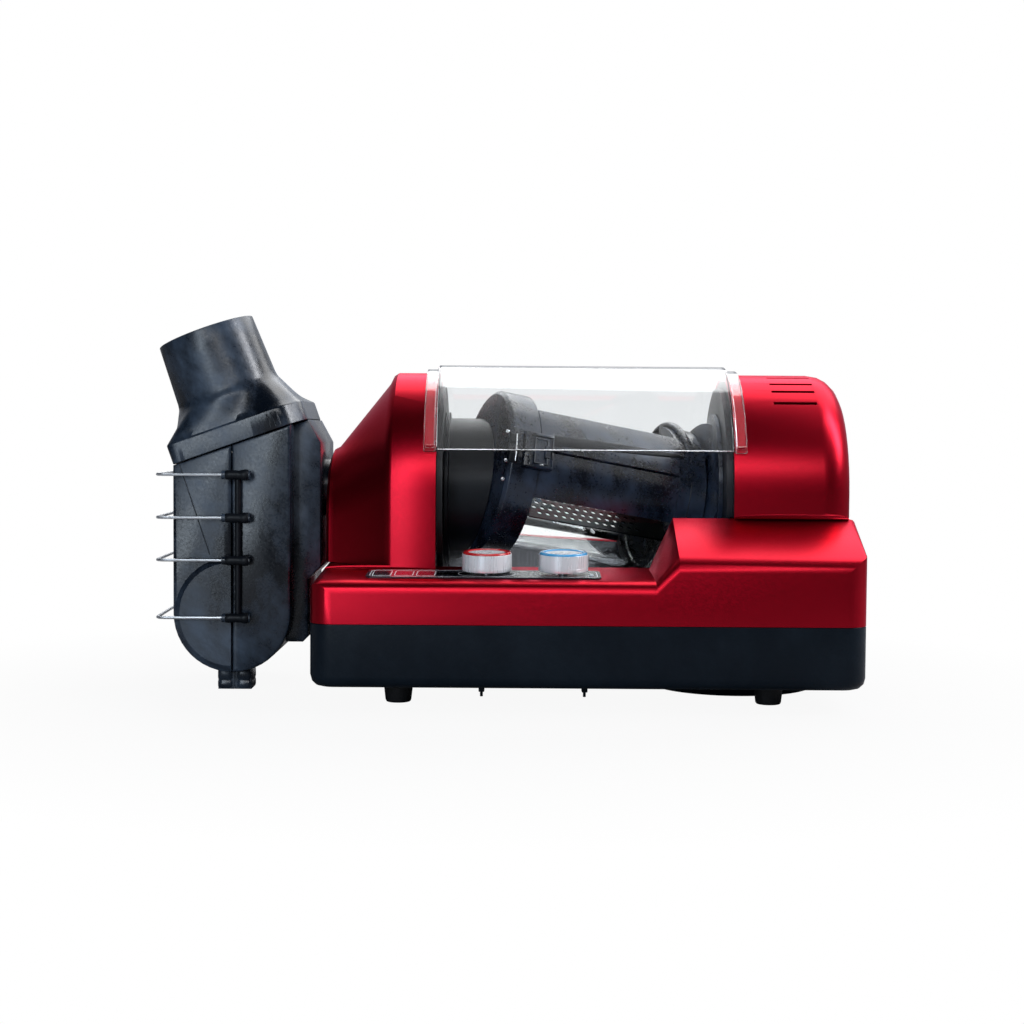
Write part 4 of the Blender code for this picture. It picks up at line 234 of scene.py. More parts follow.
STILL = (1, 1, 1)
LONG_X, LONG_YZ, LONG_Z = (40, 1, 1), (1, 40, 40), (1, 1, 30)
FINISHES = {
    "red": candy_paint(),
    "label": label_film(),
    "tub": cloud_drift_and_sheen("tub_black", (.0018, .0058, .0115), (.0050, .0108, .0185), (.34, .44), .0009, .00007, .17),
    # The collector's pale tone is painted sheen: a cloudy bluish-grey reflection put into its colour.
    "collector": cloud_drift_and_sheen("collector_black", (.0018, .0038, .0078), (.052, .076, .114), (.24, .43), .0009,
                         .00005, .46),
    # The drum's pale tone is painted sheen as well.
    "drum": cloud_drift_and_sheen("drum_black", (.0018, .0036, .0085), (.030, .049, .092), (.26, .42), .0009, .000012, .56),
    "dark": moulded("wall_black", (.0070, .0080, .0100), (.0110, .0125, .0160), .04, .0008, .00006, (.38, .52)),
    "grey": moulded("disc_grey", (.010, .013, .018), (.018, .022, .029), .04, .0007, .00004, (.32, .44),
                    specular_ior_level=.35),
    "bar": moulded("clip_black", (.0026, .0036, .0058), (.0050, .0066, .0098), .02, .0006, .000012, (.34, .46),
                   specular_ior_level=.20),
    "print": moulded("pale_print", (.74, .77, .80), (.82, .85, .88), .006, .0003, .00001, (.35, .5)),
    "lamp": moulded("lamp_lens", (.55, .60, .62), (.66, .70, .72), .004, .0003, .00001, (.08, .16),
                    coat_weight=.8, coat_roughness=.04),
    "heat": moulded("warm_ring", (.55, .010, .014), (.62, .016, .020), .01, .0004, .00001, (.16, .26),
                    coat_weight=.6, coat_roughness=.06),
    "time": moulded("blue_ring", (.055, .36, .72), (.075, .42, .78), .01, .0004, .00001, (.16, .26),
                    coat_weight=.6, coat_roughness=.06),
    "rubber": moulded("foot_rubber", (.010, .010, .011), (.018, .018, .019), .01, .0006, .00012, (.60, .78)),
    "board": moulded("board_green", (.010, .075, .028), (.016, .11, .045), .004, .0008, .00003, (.32, .45)),
    "ceramic": moulded("heater_ceramic", (.62, .58, .50), (.74, .71, .64), .008, .0009, .00010, (.60, .75)),
    "nylon": moulded("gear_nylon", (.60, .59, .54), (.70, .69, .65), .01, .0008, .00003, (.38, .50)),
    # The knobs' tone streaks, drawn up the wall by LONG_Z, are painted vertical reflection bands.
    "alu": drawn_metal("turned_aluminium", (.82, .84, .87), (.97, .98, 1), .0019, LONG_Z, (.22, .36),
                       metallic=.28),
    "screw": drawn_metal("screw_steel", (.45, .46, .48), (.62, .63, .65), .0004, STILL, (.18, .30)),
    "bail": drawn_metal("bail_steel", (.09, .10, .115), (.16, .17, .19), .0004, (8, 8, 1), (.30, .42)),
    "wire": drawn_metal("bright_wire", (.72, .74, .77), (.86, .87, .89), .0004, (8, 8, 1), (.34, .46)),
    "steel": drawn_metal("drawn_steel", (.52, .53, .55), (.66, .67, .68), .0006, LONG_YZ, (.16, .30)),
    "liner": drawn_metal("liner_steel", (.075, .080, .090), (.13, .135, .15), .0006, LONG_YZ, (.14, .26)),
    "vane": drawn_metal("vane_steel", (.006, .007, .009), (.013, .014, .017), .0006, LONG_X, (.36, .50)),
    "zinc": drawn_metal("zinc_plate", (.42, .43, .45), (.60, .60, .62), .0010, STILL, (.25, .42)),
    "cover": clear_plastic("cover_clear", (.935, .95, .958), (.012, .050), 1.49, specular_ior_level=.14),
    "edge": clear_plastic("cover_edge", (.80, .80, .83), (.18, .34), 1.25),
    "glass": clear_plastic("drum_glass", (.93, .95, .95), (.010, .035), 1.47, specular_ior_level=.22),
    "window": clear_plastic("smoked_window", (.10, .11, .13), (.02, .06), 1.49),
}


# ---------------------------------------------------------------- making pieces

def surface(name, grid, round_u=False, round_v=False, low_cap=False, high_cap=False):
    """A mesh through a grid of points: rows run along v, columns along u.

    `round_u` joins the last column to the first and `round_v` the last row to the first.
    A cap closes the first or the last row with a fan to its middle.
    """
    rows, columns = grid.shape[:2]
    points = grid.reshape(-1, 3)
    row = np.arange(rows if round_v else rows - 1)[:, None]
    column = np.arange(columns if round_u else columns - 1)[None, :]
    after_row, after_column = (row + 1) % rows, (column + 1) % columns
    faces = np.stack(np.broadcast_arrays(row * columns + column, row * columns + after_column,
                                         after_row * columns + after_column,
                                         after_row * columns + column), -1).reshape(-1, 4).tolist()
    ends = [(0, low_cap, False), (rows - 1, high_cap, True)]
    for index, wanted, ahead in ends:
        if wanted:
            ring = index * columns + np.arange(columns)
            after = np.roll(ring, -1)
            pair = (ring, after) if ahead else (after, ring)
            faces += np.stack([*pair, np.full(columns, len(points))], 1).tolist()
            points = np.vstack([points, grid[index].mean(0)])
    mesh = bpy.data.meshes.new(name)
    mesh.from_pydata(points.tolist(), [], faces)
    shape = bmesh.new()
    shape.from_mesh(mesh)
    bmesh.ops.remove_doubles(shape, verts=shape.verts, dist=1e-7)
    bmesh.ops.recalc_face_normals(shape, faces=shape.faces)
    shape.to_mesh(mesh)
    shape.free()
    mesh.shade_smooth()
    mesh.set_sharp_from_angle(angle=np.radians(40))
    return bpy.data.objects.new(name, mesh)


def laid(points, matrix):
    """Points moved by a matrix."""
    matrix = np.array(matrix)
    return np.asarray(points, float) @ matrix[:3, :3].T + matrix[:3, 3]


def revolved(name, profile, place, steps=96):
    """Turns (radius, height) points once about the local Z axis, then lays them by the `place` matrix."""
    profile = np.asarray(profile, float)
    angle = np.linspace(0, 2 * np.pi, steps, endpoint=False)
    grid = np.stack([profile[:, :1] * np.cos(angle), profile[:, :1] * np.sin(angle),
                     np.repeat(profile[:, 1:], steps, 1)], -1)
    return surface(name, laid(grid, place), True, bool(profile[0, 0] > 1e-6))


def carried(name, outline, path, up=(0, 0, 1), closed=False, caps=True):
    """Carries a closed (across, above) outline along a path: across lies square to the path and to `up`."""
    outline, path = np.asarray(outline, float), np.asarray(path, float)
    if closed:
        ahead = np.roll(path, -1, 0) - np.roll(path, 1, 0)
    else:
        ahead = np.gradient(path, axis=0)
    ahead /= np.linalg.norm(ahead, axis=1, keepdims=True)
    up = np.broadcast_to(np.asarray(up, float), path.shape)
    across = np.cross(ahead, up)
    across /= np.linalg.norm(across, axis=1, keepdims=True)
    above = np.cross(across, ahead)
    grid = path[:, None] + across[:, None] * outline[None, :, :1] + above[:, None] * outline[None, :, 1:]
    return surface(name, grid, True, closed, caps and not closed, caps and not closed)


def round_outline(radius, sides=16, flat=1.0):
    """A circle of points, squeezed by `flat` in height."""
    angle = np.linspace(0, 2 * np.pi, sides, endpoint=False)
    return np.stack([radius * np.cos(angle), radius * flat * np.sin(angle)], 1)


def finished(piece, look, body, stands_for=(), slot=None):
    """Gives a piece its finish, the body it rides on and the nodes it stands for."""
    piece.data.materials.clear()
    piece.data.materials.append(FINISHES[look])
    if piece.name not in bpy.context.scene.collection.objects:
        bpy.context.scene.collection.objects.link(piece)
    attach(piece, body)
    if stands_for:
        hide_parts(*stands_for)
    slot = slot or (stands_for[0] if stands_for else None)
    return piece


def refined(node, look, edge):
    """The node's own form, merged, smooth over its rounds, with a small true radius on its sharp edges."""
    sharp = np.radians(32)
    mesh = NODES[node].data.copy()
    shape = bmesh.new()
    shape.from_mesh(mesh)
    bmesh.ops.remove_doubles(shape, verts=shape.verts, dist=1e-6)
    bmesh.ops.dissolve_limit(shape, angle_limit=.0015, verts=shape.verts, edges=shape.edges)
    shape.to_mesh(mesh)
    shape.free()
    if mesh.attributes.get("custom_normal"):
        mesh.attributes.remove(mesh.attributes["custom_normal"])
    mesh.shade_smooth()
    mesh.set_sharp_from_angle(angle=sharp)
    piece = bpy.data.objects.new(node + "_fine", mesh)
    if edge:
        round_off = piece.modifiers.new("edge", "BEVEL")
        round_off.width = edge
        round_off.segments = 2
        round_off.limit_method = "ANGLE"
        round_off.angle_limit = sharp
        round_off.harden_normals = True
    return finished(piece, look, BODY_OF[node], (node,))


LOOK_OF = {
    "base_tub": "tub", "foot_front_left": "rubber", "foot_front_right": "rubber", "foot_rear_left": "rubber",
    "foot_rear_right": "rubber", "top_housing": "red", "left_tower": "red", "right_tower": "red",
    "left_wall": "dark", "right_wall": "grey", "well_liner": "liner", "control_overlay": "label",
    "display_window": "window", "power_inlet": "tub", "temperature_encoder": "dark", "timer_encoder": "dark",
    "blower_housing": "dark", "blower_motor": "zinc", "heater_duct": "steel", "heater_core": "ceramic",
    "drive_motor": "zinc", "left_bearing": "nylon", "right_bearing": "nylon", "exhaust_duct": "steel",
    "control_board": "board", "temperature_probe": "wire", "cover_pin_left": "wire", "cover_pin_right": "wire",
    "cover_shell": "cover", "drum_left_hub": "bar", "drum_right_hub": "drum", "drum_lid": "drum",
    "drum_end_cap": "drum", "drum_glass": "glass", "drum_vane": "vane", "drum_cage": "drum",
    "drum_handle": "drum", "drum_spine": "drum", "latch_box": "drum", "drum_gear": "nylon",
    "latch_bail": "bail", "drive_pinion": "nylon", "blower_impeller": "dark", "temperature_plunger": "nylon",
    "temperature_shaft": "zinc", "timer_plunger": "nylon", "timer_shaft": "zinc",
    "collector_body": "collector", "collector_screen": "steel", "collector_door": "collector",
    "guard_wire_1": "wire", "guard_wire_2": "wire", "guard_wire_3": "wire", "guard_wire_4": "wire",
}
EDGE = .0005
EDGE_OF = {"collector_door": .0016, "collector_body": .0016, "top_housing": .0008}
KEPT_SHARP = ("cover_shell", "drum_glass", "drum_vane", "latch_bail", "guard_wire_1", "guard_wire_2",
              "guard_wire_3", "guard_wire_4", "drum_gear", "drive_pinion", "collector_screen", "well_liner",
              "display_window", "control_overlay", "heater_core", "blower_impeller")
EDGE_OF.update(dict.fromkeys(KEPT_SHARP, 0))


# ---------------------------------------------------------------- fine pieces

# The drum: its turning axis, and in degrees how far it is turned about it and tilted against it.
AXIS = np.array((.06043, .02635, .145))
DRUM_TURN, DRUM_TILT = -30.2, 20.4
# The collector: where its two halves meet, the chimney's lean, the slope of its top and that slope's normal.
SEAM, CHIMNEY_LEAN, HOOD_SLOPE = -.19067, np.radians(20.5), np.radians(19.5)
HOOD_UP = np.array((-np.sin(HOOD_SLOPE), 0, np.cos(HOOD_SLOPE)))
# The red top: its front and left edges, its height in front, its rise over its depth, and the block's height.
FRONT, LEFT = -.11765, -.12667
DECK_HEIGHT, DECK_RISE, DECK_DEPTH = .0872, .0134, .230
DECK_SLOPE = np.arctan(DECK_RISE / DECK_DEPTH)
BLOCK_HEIGHT = .1282
# How far the knobs and the towers stand behind the front edge, and the print above the deck.
KNOB_ROW, TOWER_ROW, PRINT_LIFT = .033, .058, .00106
# Each knob: its name, how far it stands from the left edge, and the finish of its ring.
KNOBS = (("temperature", .1191, "heat"), ("timer", .1715, "time"))
GRILLE_MIDDLE = (.17233, .01235)


def on_axis(x, angle, radius):
    """Points about the drum's turning axis: the angle starts at the front and rises over the top."""
    x, angle, radius = np.broadcast_arrays(x, angle, radius)
    return np.stack([x, AXIS[1] - radius * np.cos(angle), AXIS[2] + radius * np.sin(angle)], -1)


def on_drum(x, angle, radius):
    """Points round the drum's own tilted axis. The angle counts from the front and rises over the top."""
    x, angle, radius = np.broadcast_arrays(x, np.radians(np.asarray(angle) + DRUM_TURN), radius)
    turn = Matrix.Rotation(np.radians(DRUM_TURN), 3, "X") @ Matrix.Rotation(np.radians(DRUM_TILT), 3, "Z")
    return np.stack([x, -radius * np.cos(angle), radius * np.sin(angle)], -1) @ np.array(turn).T + AXIS


def deck_height(depth):
    """Height of the sloping deck at a depth behind its front edge."""
    return DECK_HEIGHT + DECK_RISE * depth / DECK_DEPTH


def deck_frame(across, depth, lift=0.0):
    """Matrix of a place on the deck, `lift` above it, whose Z is the deck's normal."""
    return (Matrix.Translation((LEFT + across, FRONT + depth, deck_height(depth)))
            @ Matrix.Rotation(DECK_SLOPE, 4, "X") @ Matrix.Translation((0, 0, lift)))


def lid_line(x):
    """Height of the collector's slanted top."""
    return .1772 + (x - SEAM) * np.tan(HOOD_SLOPE)


def make_knob(name, across, look):
    """Knob and its coloured ring: profiles turned about the deck's normal.

    The face's fine rings are a cosine along the radius. A groove holds the coloured ring, and a waist line
    runs round the wall.
    """
    place = deck_frame(across, KNOB_ROW)
    rings = np.linspace(.0020, .0120, 23)
    face = np.stack([rings, .0158 + .00006 * np.cos(np.arange(23) * np.pi)], 1)
    groove = [(.0126, .0158), (.0130, .0155), (.0130, .0146), (.0165, .0146)]
    rim = [(.0166, .0151), (.0168, .0152), (.0170, .0150)]
    waist = [(.0170, .0068), (.0169, .0067), (.0169, .0064), (.0170, .0063)]
    skirt = [(.0170, .0041), (.0168, .0037), (.0163, .0034), (.0033, .0034), (.0033, .0122), (0, .0122)]
    profile = np.vstack([[(0, .0158)], face, groove, rim, waist, skirt])
    finished(revolved(name + "_knob_turned", profile, place, 128), "alu", name + "_dial", (name + "_knob",))
    band = [(.0132, .0147), (.0162, .0147), (.0164, .0150), (.0163, .0160), (.0160, .0164), (.0153, .0166),
            (.0139, .0166), (.0133, .0162)]
    finished(revolved(name + "_ring_round", band, place, 128), look, name + "_dial", (name + "_ring",))


def reach_to_plan(ray, middle, corners):
    """How far rays from the middle go until they meet a plan's edges.

    Each ray is crossed with each edge, and the nearest crossing counts. A bell curve over neighbouring rays
    softens the corners.
    """
    start, end = corners - middle, np.roll(corners, -1, 0) - middle
    side = end - start
    cross = ray[:, None, 0] * side[None, :, 1] - ray[:, None, 1] * side[None, :, 0]
    reach = (start[None, :, 0] * side[None, :, 1] - start[None, :, 1] * side[None, :, 0]) / cross
    share = (start[None, :, 0] * ray[:, None, 1] - start[None, :, 1] * ray[:, None, 0]) / cross
    reach = np.where((reach > 0) & (share > -1e-6) & (share < 1 + 1e-6), reach, 9).min(1)
    kernel = np.exp(-.5 * (np.arange(-6, 7) / 2.6) ** 2)
    return np.convolve(np.concatenate([reach[-6:], reach, reach[:6]]), kernel / kernel.sum(), "valid")


def make_hood():
    """Hood of the collector: rings from a rounded foot plan up to the leaning round chimney and back inside.

    Each ring is the foot plan, found along rays from the chimney's middle, or the chimney's circle, or a
    share of both.
    """
    middle = np.array((-.19887, .00435, .2134))
    corners = np.array([(-.2328, -.03785), (-.1512, -.03785), (-.1385, -.0215), (-.1385, .0715),
                        (-.1480, .08455), (-.2328, .08455)])
    angle = np.linspace(0, 2 * np.pi, 288, endpoint=False)
    ray = np.stack([np.cos(angle) * np.cos(CHIMNEY_LEAN), np.sin(angle)], 1)
    reach = reach_to_plan(ray, middle[:2], corners)
    across = np.array((np.cos(CHIMNEY_LEAN), 0, np.sin(CHIMNEY_LEAN)))
    along = np.array((-np.sin(CHIMNEY_LEAN), 0, np.cos(CHIMNEY_LEAN)))

    def foot(lift, inset):
        """The foot plan, drawn in by `inset` and lifted square to the slanted top."""
        plan = middle[:2] + ray * (reach - inset)[:, None]
        low = np.stack([plan[:, 0], plan[:, 1], lid_line(plan[:, 0])], 1)
        return low + lift * HOOD_UP

    def circle(radius, height):
        """The chimney's circle at a height along its lean."""
        return (middle + along * height + radius * (np.cos(angle)[:, None] * across
                                                     + np.sin(angle)[:, None] * np.array((0, 1, 0))))

    def between(lift, inset, radius, height, share):
        """A share of the circle and the rest of the foot plan."""
        return foot(lift, inset) * (1 - share) + circle(radius, height) * share

    rows = [foot(.0003, .0003), foot(.0006, 0), foot(.0136, 0), foot(.0145, .0004), foot(.0152, .0014)]
    rows += [between(.0152, .0014, .0398, -.0020, t) for t in (.2, .4, .6, .8, .93)]
    rows += [circle(.0393, -.0012), circle(.0385, .0004), circle(.0379, .0024), circle(.0375, .0050)]
    rows += [circle(.0375 - .0018 * t, .0050 + .0428 * t) for t in (.25, .5, .75, 1)]
    rows += [circle(.0355, .0484), circle(.0351, .0486), circle(.0338, .0486), circle(.0334, .0482)]
    rows += [circle(.0350, .0030), circle(.0352, -.0010)]
    rows += [between(.0126, .0040, .0360, -.0040, t) for t in (.7, .35, 0)]
    rows += [foot(.0003, .0028)]
    hood = surface("hood_cast", np.array(rows), True, True)
    finished(hood, "collector", "collector_front", ("collector_hood",))


def make_hood_ribs():
    """Three thin ribs on the hood's band near its front corner: a circle carried up square to the slope."""
    for index, x in enumerate((-.1622, -.1590, -.1558)):
        low = np.array((x, -.0376, lid_line(x) + .0022))
        path = low + HOOD_UP * np.linspace(0, .0102, 9)[:, None]
        rib = carried("hood_rib_%d" % index, round_outline(.0008, 12), path, up=(0, -1, 0))
        finished(rib, "collector", "collector_front", slot="collector_hood")


def make_collector_foot():
    """Two shoes on the collector's foot, one on each half, with a shallow groove round each.

    Each level is a circle whose cosine and sine are drawn out to a rounded square by a square root, then
    sized by the level's share.
    """
    turn = np.linspace(0, 2 * np.pi, 48, endpoint=False)
    plan = np.stack([np.cos(turn), np.sin(turn)], 1)
    plan = np.sign(plan) * np.abs(plan) ** .5
    steps = np.array([(0, .0001), (.70, .0001), (.92, .0006), (1, .0018), (1, .0052), (.95, .0060),
                      (.95, .0070), (1, .0078), (1, .0125), (.94, .0145), (.80, .0152)])
    for half, body, middle in (("door", "collector_front", SEAM - .0067), ("body", "collector", SEAM + .0067)):
        grid = np.stack([middle + .0063 * steps[:, :1] * plan[:, 0], -.0117 + .0112 * steps[:, :1] * plan[:, 1],
                         np.repeat(steps[:, 1:], 48, 1)], -1)
        shoe = surface("collector_shoe_" + half, grid, True, high_cap=True)
        finished(shoe, "collector", body, slot="collector_" + half)


def make_door_details():
    """The door's diagonal crease, and the black bar with the four sleeves that hold the wires.

    The crease and the bar are circles carried along lines, and the bar's line sways by a fine sine. Each
    sleeve is a profile turned about a line along X.
    """
    start, end = np.array((-.2281, -.03565, .1634)), np.array((-.2063, -.03565, .0985))
    path = start + (end - start) * np.linspace(0, 1, 24)[:, None]
    crease = carried("door_crease", round_outline(.0004, 12, .8), path, up=(0, -1, 0))
    finished(crease, "grey", "collector_front", slot="collector_door")
    height = np.linspace(.0520, .1575, 60)
    sway = .00012 * np.sin(height * 900)
    path = np.stack([-.1858 + sway, np.full(60, -.0380), height], 1)
    bar = carried("sleeve_bar", round_outline(.0023, 16), path, up=(0, -1, 0))
    finished(bar, "bar", "collector_front", slot="collector_door")
    profile = [(0, 0), (.0028, .0002), (.0033, .0008), (.0034, .0040), (.0032, .0085), (.0031, .0105),
               (.0036, .0122), (.0040, .0140), (.0038, .0158), (.0028, .0172), (0, .0177)]
    for index, height in enumerate((.1557, .1251, .0948, .0537)):
        place = Matrix.Translation((-.1945, -.0412, height)) @ Matrix.Rotation(np.radians(90), 4, "Y")
        sleeve = revolved("wire_sleeve_%d" % (index + 1), profile, place, 32)
        finished(sleeve, "bar", "collector_front", slot="collector_door")


def make_cover_edges():
    """Bright sawn edges of the cover: along its front, at its two ends and on its two steps.

    Each is a flat oval. The front one is carried along a line, and the others along arcs about the drum's
    turning axis.
    """
    front, rear = np.radians(19.3), np.radians(173.5)
    x = np.linspace(-.0432, .1641, 90)
    outward = on_axis(x, front, .1) - on_axis(x, front, 0)
    strip = carried("cover_front_edge", round_outline(.00135, 14, .42)[:, ::-1],
                    on_axis(x, front - .0012, .0906), up=outward * 10)
    finished(strip, "edge", "cover", slot="cover_shell")
    sweep = np.linspace(front, rear, 120)
    for name, x, radius, size, flat in (("end_left", -.0527, .0876, .0013, .40),
                                        ("end_right", .1736, .0876, .0013, .40),
                                        ("step_left", -.0446, .0900, .0011, .55),
                                        ("step_right", .1655, .0900, .0011, .55)):
        outward = on_axis(x, sweep, 1.0) - on_axis(x, sweep, 0)
        strip = carried("cover_" + name, round_outline(size, 12, flat)[:, ::-1], on_axis(x, sweep, radius),
                        up=outward)
        finished(strip, "edge", "cover", slot="cover_shell")


def make_label_print():
    """Plain print on the control label, and a small lamp beside the timer knob.

    Each line is a flat oval carried round a loop: an oval for a knob, and for a field or the border an oval
    whose cosine and sine are raised to a small power, which squares its corners.
    """
    turn = np.linspace(0, 2 * np.pi, 160, endpoint=False)
    round_x, round_y = np.cos(turn), np.sin(turn)
    square_x, square_y = np.sign(round_x) * np.abs(round_x) ** .16, np.sign(round_y) * np.abs(round_y) ** .22

    def printed(name, across, x, y):
        """A flat line round the loop (x, y), laid on the deck."""
        loop = laid(np.stack([x, y, np.zeros(160)], 1), deck_frame(across, KNOB_ROW, PRINT_LIFT))
        line = carried(name, round_outline(.00040, 6, .25), loop, closed=True)
        finished(line, "print", "housing", slot="control_overlay")

    for index, across in enumerate((.0475, .0625, .0775)):
        printed("label_field_%d" % index, across, .0062 * square_x, .0118 * square_y)
    printed("label_border", .1170, .0775 * square_x, .0158 * square_y)
    for _, across, look in KNOBS:
        printed("label_ring_" + look, across, .0196 * round_x, .0196 * round_y * .78)
    lamp = [(0, .0016), (.0007, .00155), (.0013, .0012), (.0016, .0006), (.0016, 0), (0, 0)]
    finished(revolved("timer_lamp", lamp, deck_frame(.1905, .026, .0010), 32), "lamp", "housing",
             slot="control_overlay")


def make_screw(name, x, spin, radius, facing, size, slot):
    """Button screw head on the drum: the profile of a low dome with a recess, turned about the way out.

    It sits at the angle `spin` and faces the way out at the angle `facing`.
    """
    dome = [(0, .00025), (size * .38, .00025), (size * .42, .0006), (size * .62, .00058),
            (size * .86, .00040), (size, .0001), (size, -.0004), (0, -.0004)]
    outward = Vector(on_drum(x, facing, radius) - on_drum(x, facing, 0.0))
    place = Matrix.Translation(Vector(on_drum(x, spin, radius)))
    place = place @ outward.to_track_quat("Z", "Y").to_matrix().to_4x4()
    finished(revolved(name, dome, place, 28), "screw", "drum", slot=slot)


def make_handle_channel():
    """Dark channel along the drum's handle: a skin just above the drum between two climbing lines of angle.

    The lower line climbs evenly along the drum and the upper one bends by a square. A sine across makes the
    skin swell in its middle.
    """
    x = np.linspace(-.0500, .0575, 60)[:, None]
    share = np.linspace(0, 1, 9)[None, :]
    way = (x + .0500) / .1075
    low, high = 25.5 + 11.0 * way, 33.5 + 10.0 * way - 4.5 * way ** 2
    angle = low + (high - low) * share
    top = on_drum(x, angle, .06030 + .00018 * np.sin(np.pi * share) ** .4)
    under = on_drum(x, angle, .0596)
    channel = surface("handle_channel", np.concatenate([top, under[:, ::-1]], 1), True, False, True, True)
    finished(channel, "bar", "drum", slot="drum_handle")


def make_lid_fittings():
    """The lid's three pins, and the two knuckles of the latch with the pin between them.

    A knuckle is a rounded square carried along an arc round the drum, which sinks at both ends by a sixth
    power. The latch's pin is a circle carried along such an arc.
    """
    for index, spin in enumerate((30.5, 10.0, -3.0)):
        make_screw("lid_pin_%d" % index, -.0802, spin, .0598, spin, .0014, "drum_lid")
    square = round_outline(1, 20)
    square = np.sign(square) * np.abs(square) ** .35 * (.0034, .0012)
    sink = np.abs(np.linspace(-1, 1, 13)) ** 6
    for name, middle in (("upper", 26.0), ("lower", 13.5)):
        spin = middle + np.linspace(-3.4, 3.4, 13)
        path = on_drum(-.0752, spin, .0603 - .0008 * sink)
        knuckle = carried("latch_knuckle_" + name, square, path, up=path - on_drum(-.0752, spin, 0.0))
        finished(knuckle, "bar", "drum", slot="drum_lid")
    spin = np.linspace(10.5, 29.0, 24)
    path = on_drum(-.0738, spin, .0614)
    pin = carried("latch_pin", round_outline(.0006, 14), path, up=path - on_drum(-.0738, spin, 0.0))
    finished(pin, "screw", "drum", slot="drum_lid")


def make_cap_fittings():
    """The end cap's rounded claw and the thin seam below it.

    The claw is a circle carried round the drum, and a root of a sine along it swells it out of the rim. The
    seam is a thin circle carried round the rim, swaying by a sine.
    """
    spin, turn = np.linspace(46, 128, 60)[:, None], round_outline(1, 18)[None]
    swell = np.sin(np.pi * np.linspace(.02, .98, 60)[:, None]) ** .45
    grid = on_drum(.0610 + .0032 * turn[..., 0] + .006 * (1 - swell), spin,
                   .0584 + swell * (.0022 + .0022 * turn[..., 1]))
    finished(surface("cap_claw", grid, True, False, True, True), "drum", "drum", slot="drum_end_cap")
    spin = np.linspace(-46, 19, 50)
    path = on_drum(.0634 + .0012 * np.sin(np.radians(spin) * 2), spin, .05862)
    seam = carried("cap_seam", round_outline(.00035, 8), path, up=path - on_drum(.0634, spin, 0.0))
    finished(seam, "grey", "drum", slot="drum_end_cap")


def make_latch_screws():
    """The two screws of the latch box, which both face straight out of it."""
    for index, x in enumerate((-.0640, -.0545)):
        make_screw("latch_screw_%d" % index, x, 10.5, .0622, 20.0, .0013, "latch_box")


def make_tower_feet():
    """Soft hollows where the towers stand on the block and on the deck.

    Each is a hollow quarter round carried along the tower's foot, and a root of a sine along it makes it
    fade at both ends.
    """
    sweep = np.linspace(0, np.pi / 2, 9)
    fade = np.sin(np.pi * np.linspace(.004, .996, 40)) ** .25
    for name, start, end, height, radius in (("right", .1652, .2450, BLOCK_HEIGHT, .0042),
                                             ("left", -.1215, -.0446, deck_height(TOWER_ROW), .0030)):
        hollow = np.stack([radius - radius * np.sin(sweep), radius - radius * np.cos(sweep)], 1)
        outline = np.vstack([hollow, [(-.0004, -.0004)]])
        path = np.stack([np.linspace(start, end, 40), np.full(40, FRONT + TOWER_ROW + .0002),
                         np.full(40, height)], 1)
        grid = np.repeat(path[:, None], len(outline), 1)
        grid[..., 1] -= fade[:, None] * outline[:, 0]
        grid[..., 2] += fade[:, None] * outline[:, 1]
        foot = surface(name + "_tower_foot", grid, True, False, True, True)
        finished(foot, "red", "housing", slot="top_housing")


def make_grille():
    """Deep guard of the fan under the base: rim and hub are turned profiles, rings and spokes carried circles.

    The bottom's height grows by the eighth power of the radius, so it is flat but for its outer edge.
    """
    rim = [(.0594, .0136), (.0593, .0060), (.0585, .0042), (.0565, .0034), (.0552, .0028), (.0551, .0018),
           (.0560, .0010), (.0585, .0010), (.0603, .0016), (.0614, .0030), (.0620, .0060), (.0620, .0136)]
    hub = [(0, .0010), (.0060, .0010), (.0078, .0016), (.0084, .0028), (.0080, .0040), (0, .0042)]
    place = Matrix.Translation((*GRILLE_MIDDLE, 0))

    def rod(name, outline, radius, angle, closed=False):
        """A ring, where the angle runs, or a spoke, where the radius does."""
        path = np.broadcast_arrays(GRILLE_MIDDLE[0] + radius * np.cos(angle),
                                   GRILLE_MIDDLE[1] + radius * np.sin(angle),
                                   .0024 + .0012 * (radius / .062) ** 8)
        finished(carried(name, outline, np.stack(path, 1), closed=closed), "tub", "housing", slot="fan_grille")

    finished(revolved("grille_rim", rim, place, 144), "tub", "housing", ("fan_grille",))
    turn = np.linspace(0, 2 * np.pi, 120, endpoint=False)
    for index, radius in enumerate((.0090, .0172, .0254, .0336, .0418, .0500)):
        rod("grille_ring_%d" % index, round_outline(.0012, 10), radius, turn, True)
    reach = np.linspace(.0085, .0562, 30)
    for index, angle in enumerate(np.linspace(0, 2 * np.pi, 12, endpoint=False)):
        rod("grille_spoke_%02d" % index, round_outline(.0011, 10, 1.3), reach, angle)
    finished(revolved("grille_hub", hub, place, 48), "tub", "housing", slot="fan_grille")


def make_tub_tabs():
    """Two small tabs under the tub's front edge: an oval carried straight down."""
    height = np.linspace(.0108, .0066, 12)
    for index, x in enumerate((-.0107, .0598)):
        path = np.stack([np.full(12, x), np.full(12, -.0897), height], 1)
        tab = carried("tub_tab_%d" % index, round_outline(.0010, 16, 2.2), path, up=(0, 1, 0))
        finished(tab, "tub", "housing", slot="base_tub")


make_tower_feet()
make_grille()
make_tub_tabs()
for knob in KNOBS:
    make_knob(*knob)
make_hood()
make_hood_ribs()
make_collector_foot()
make_door_details()
make_cover_edges()
make_label_print()
make_handle_channel()
make_lid_fittings()
make_cap_fittings()
make_latch_screws()
for node, look in LOOK_OF.items():
    refined(node, look, EDGE_OF.get(node, EDGE))


# ---------------------------------------------------------------- studio

def seen_plainly(tree):
    """1 for what the camera sees, also through clear pieces, and 0 for what surfaces mirror and catch."""
    path = tree.nodes.new("ShaderNodeLightPath")
    return reckon(tree, "MAXIMUM", path.outputs["Is Camera Ray"], path.outputs["Is Transmission Ray"])


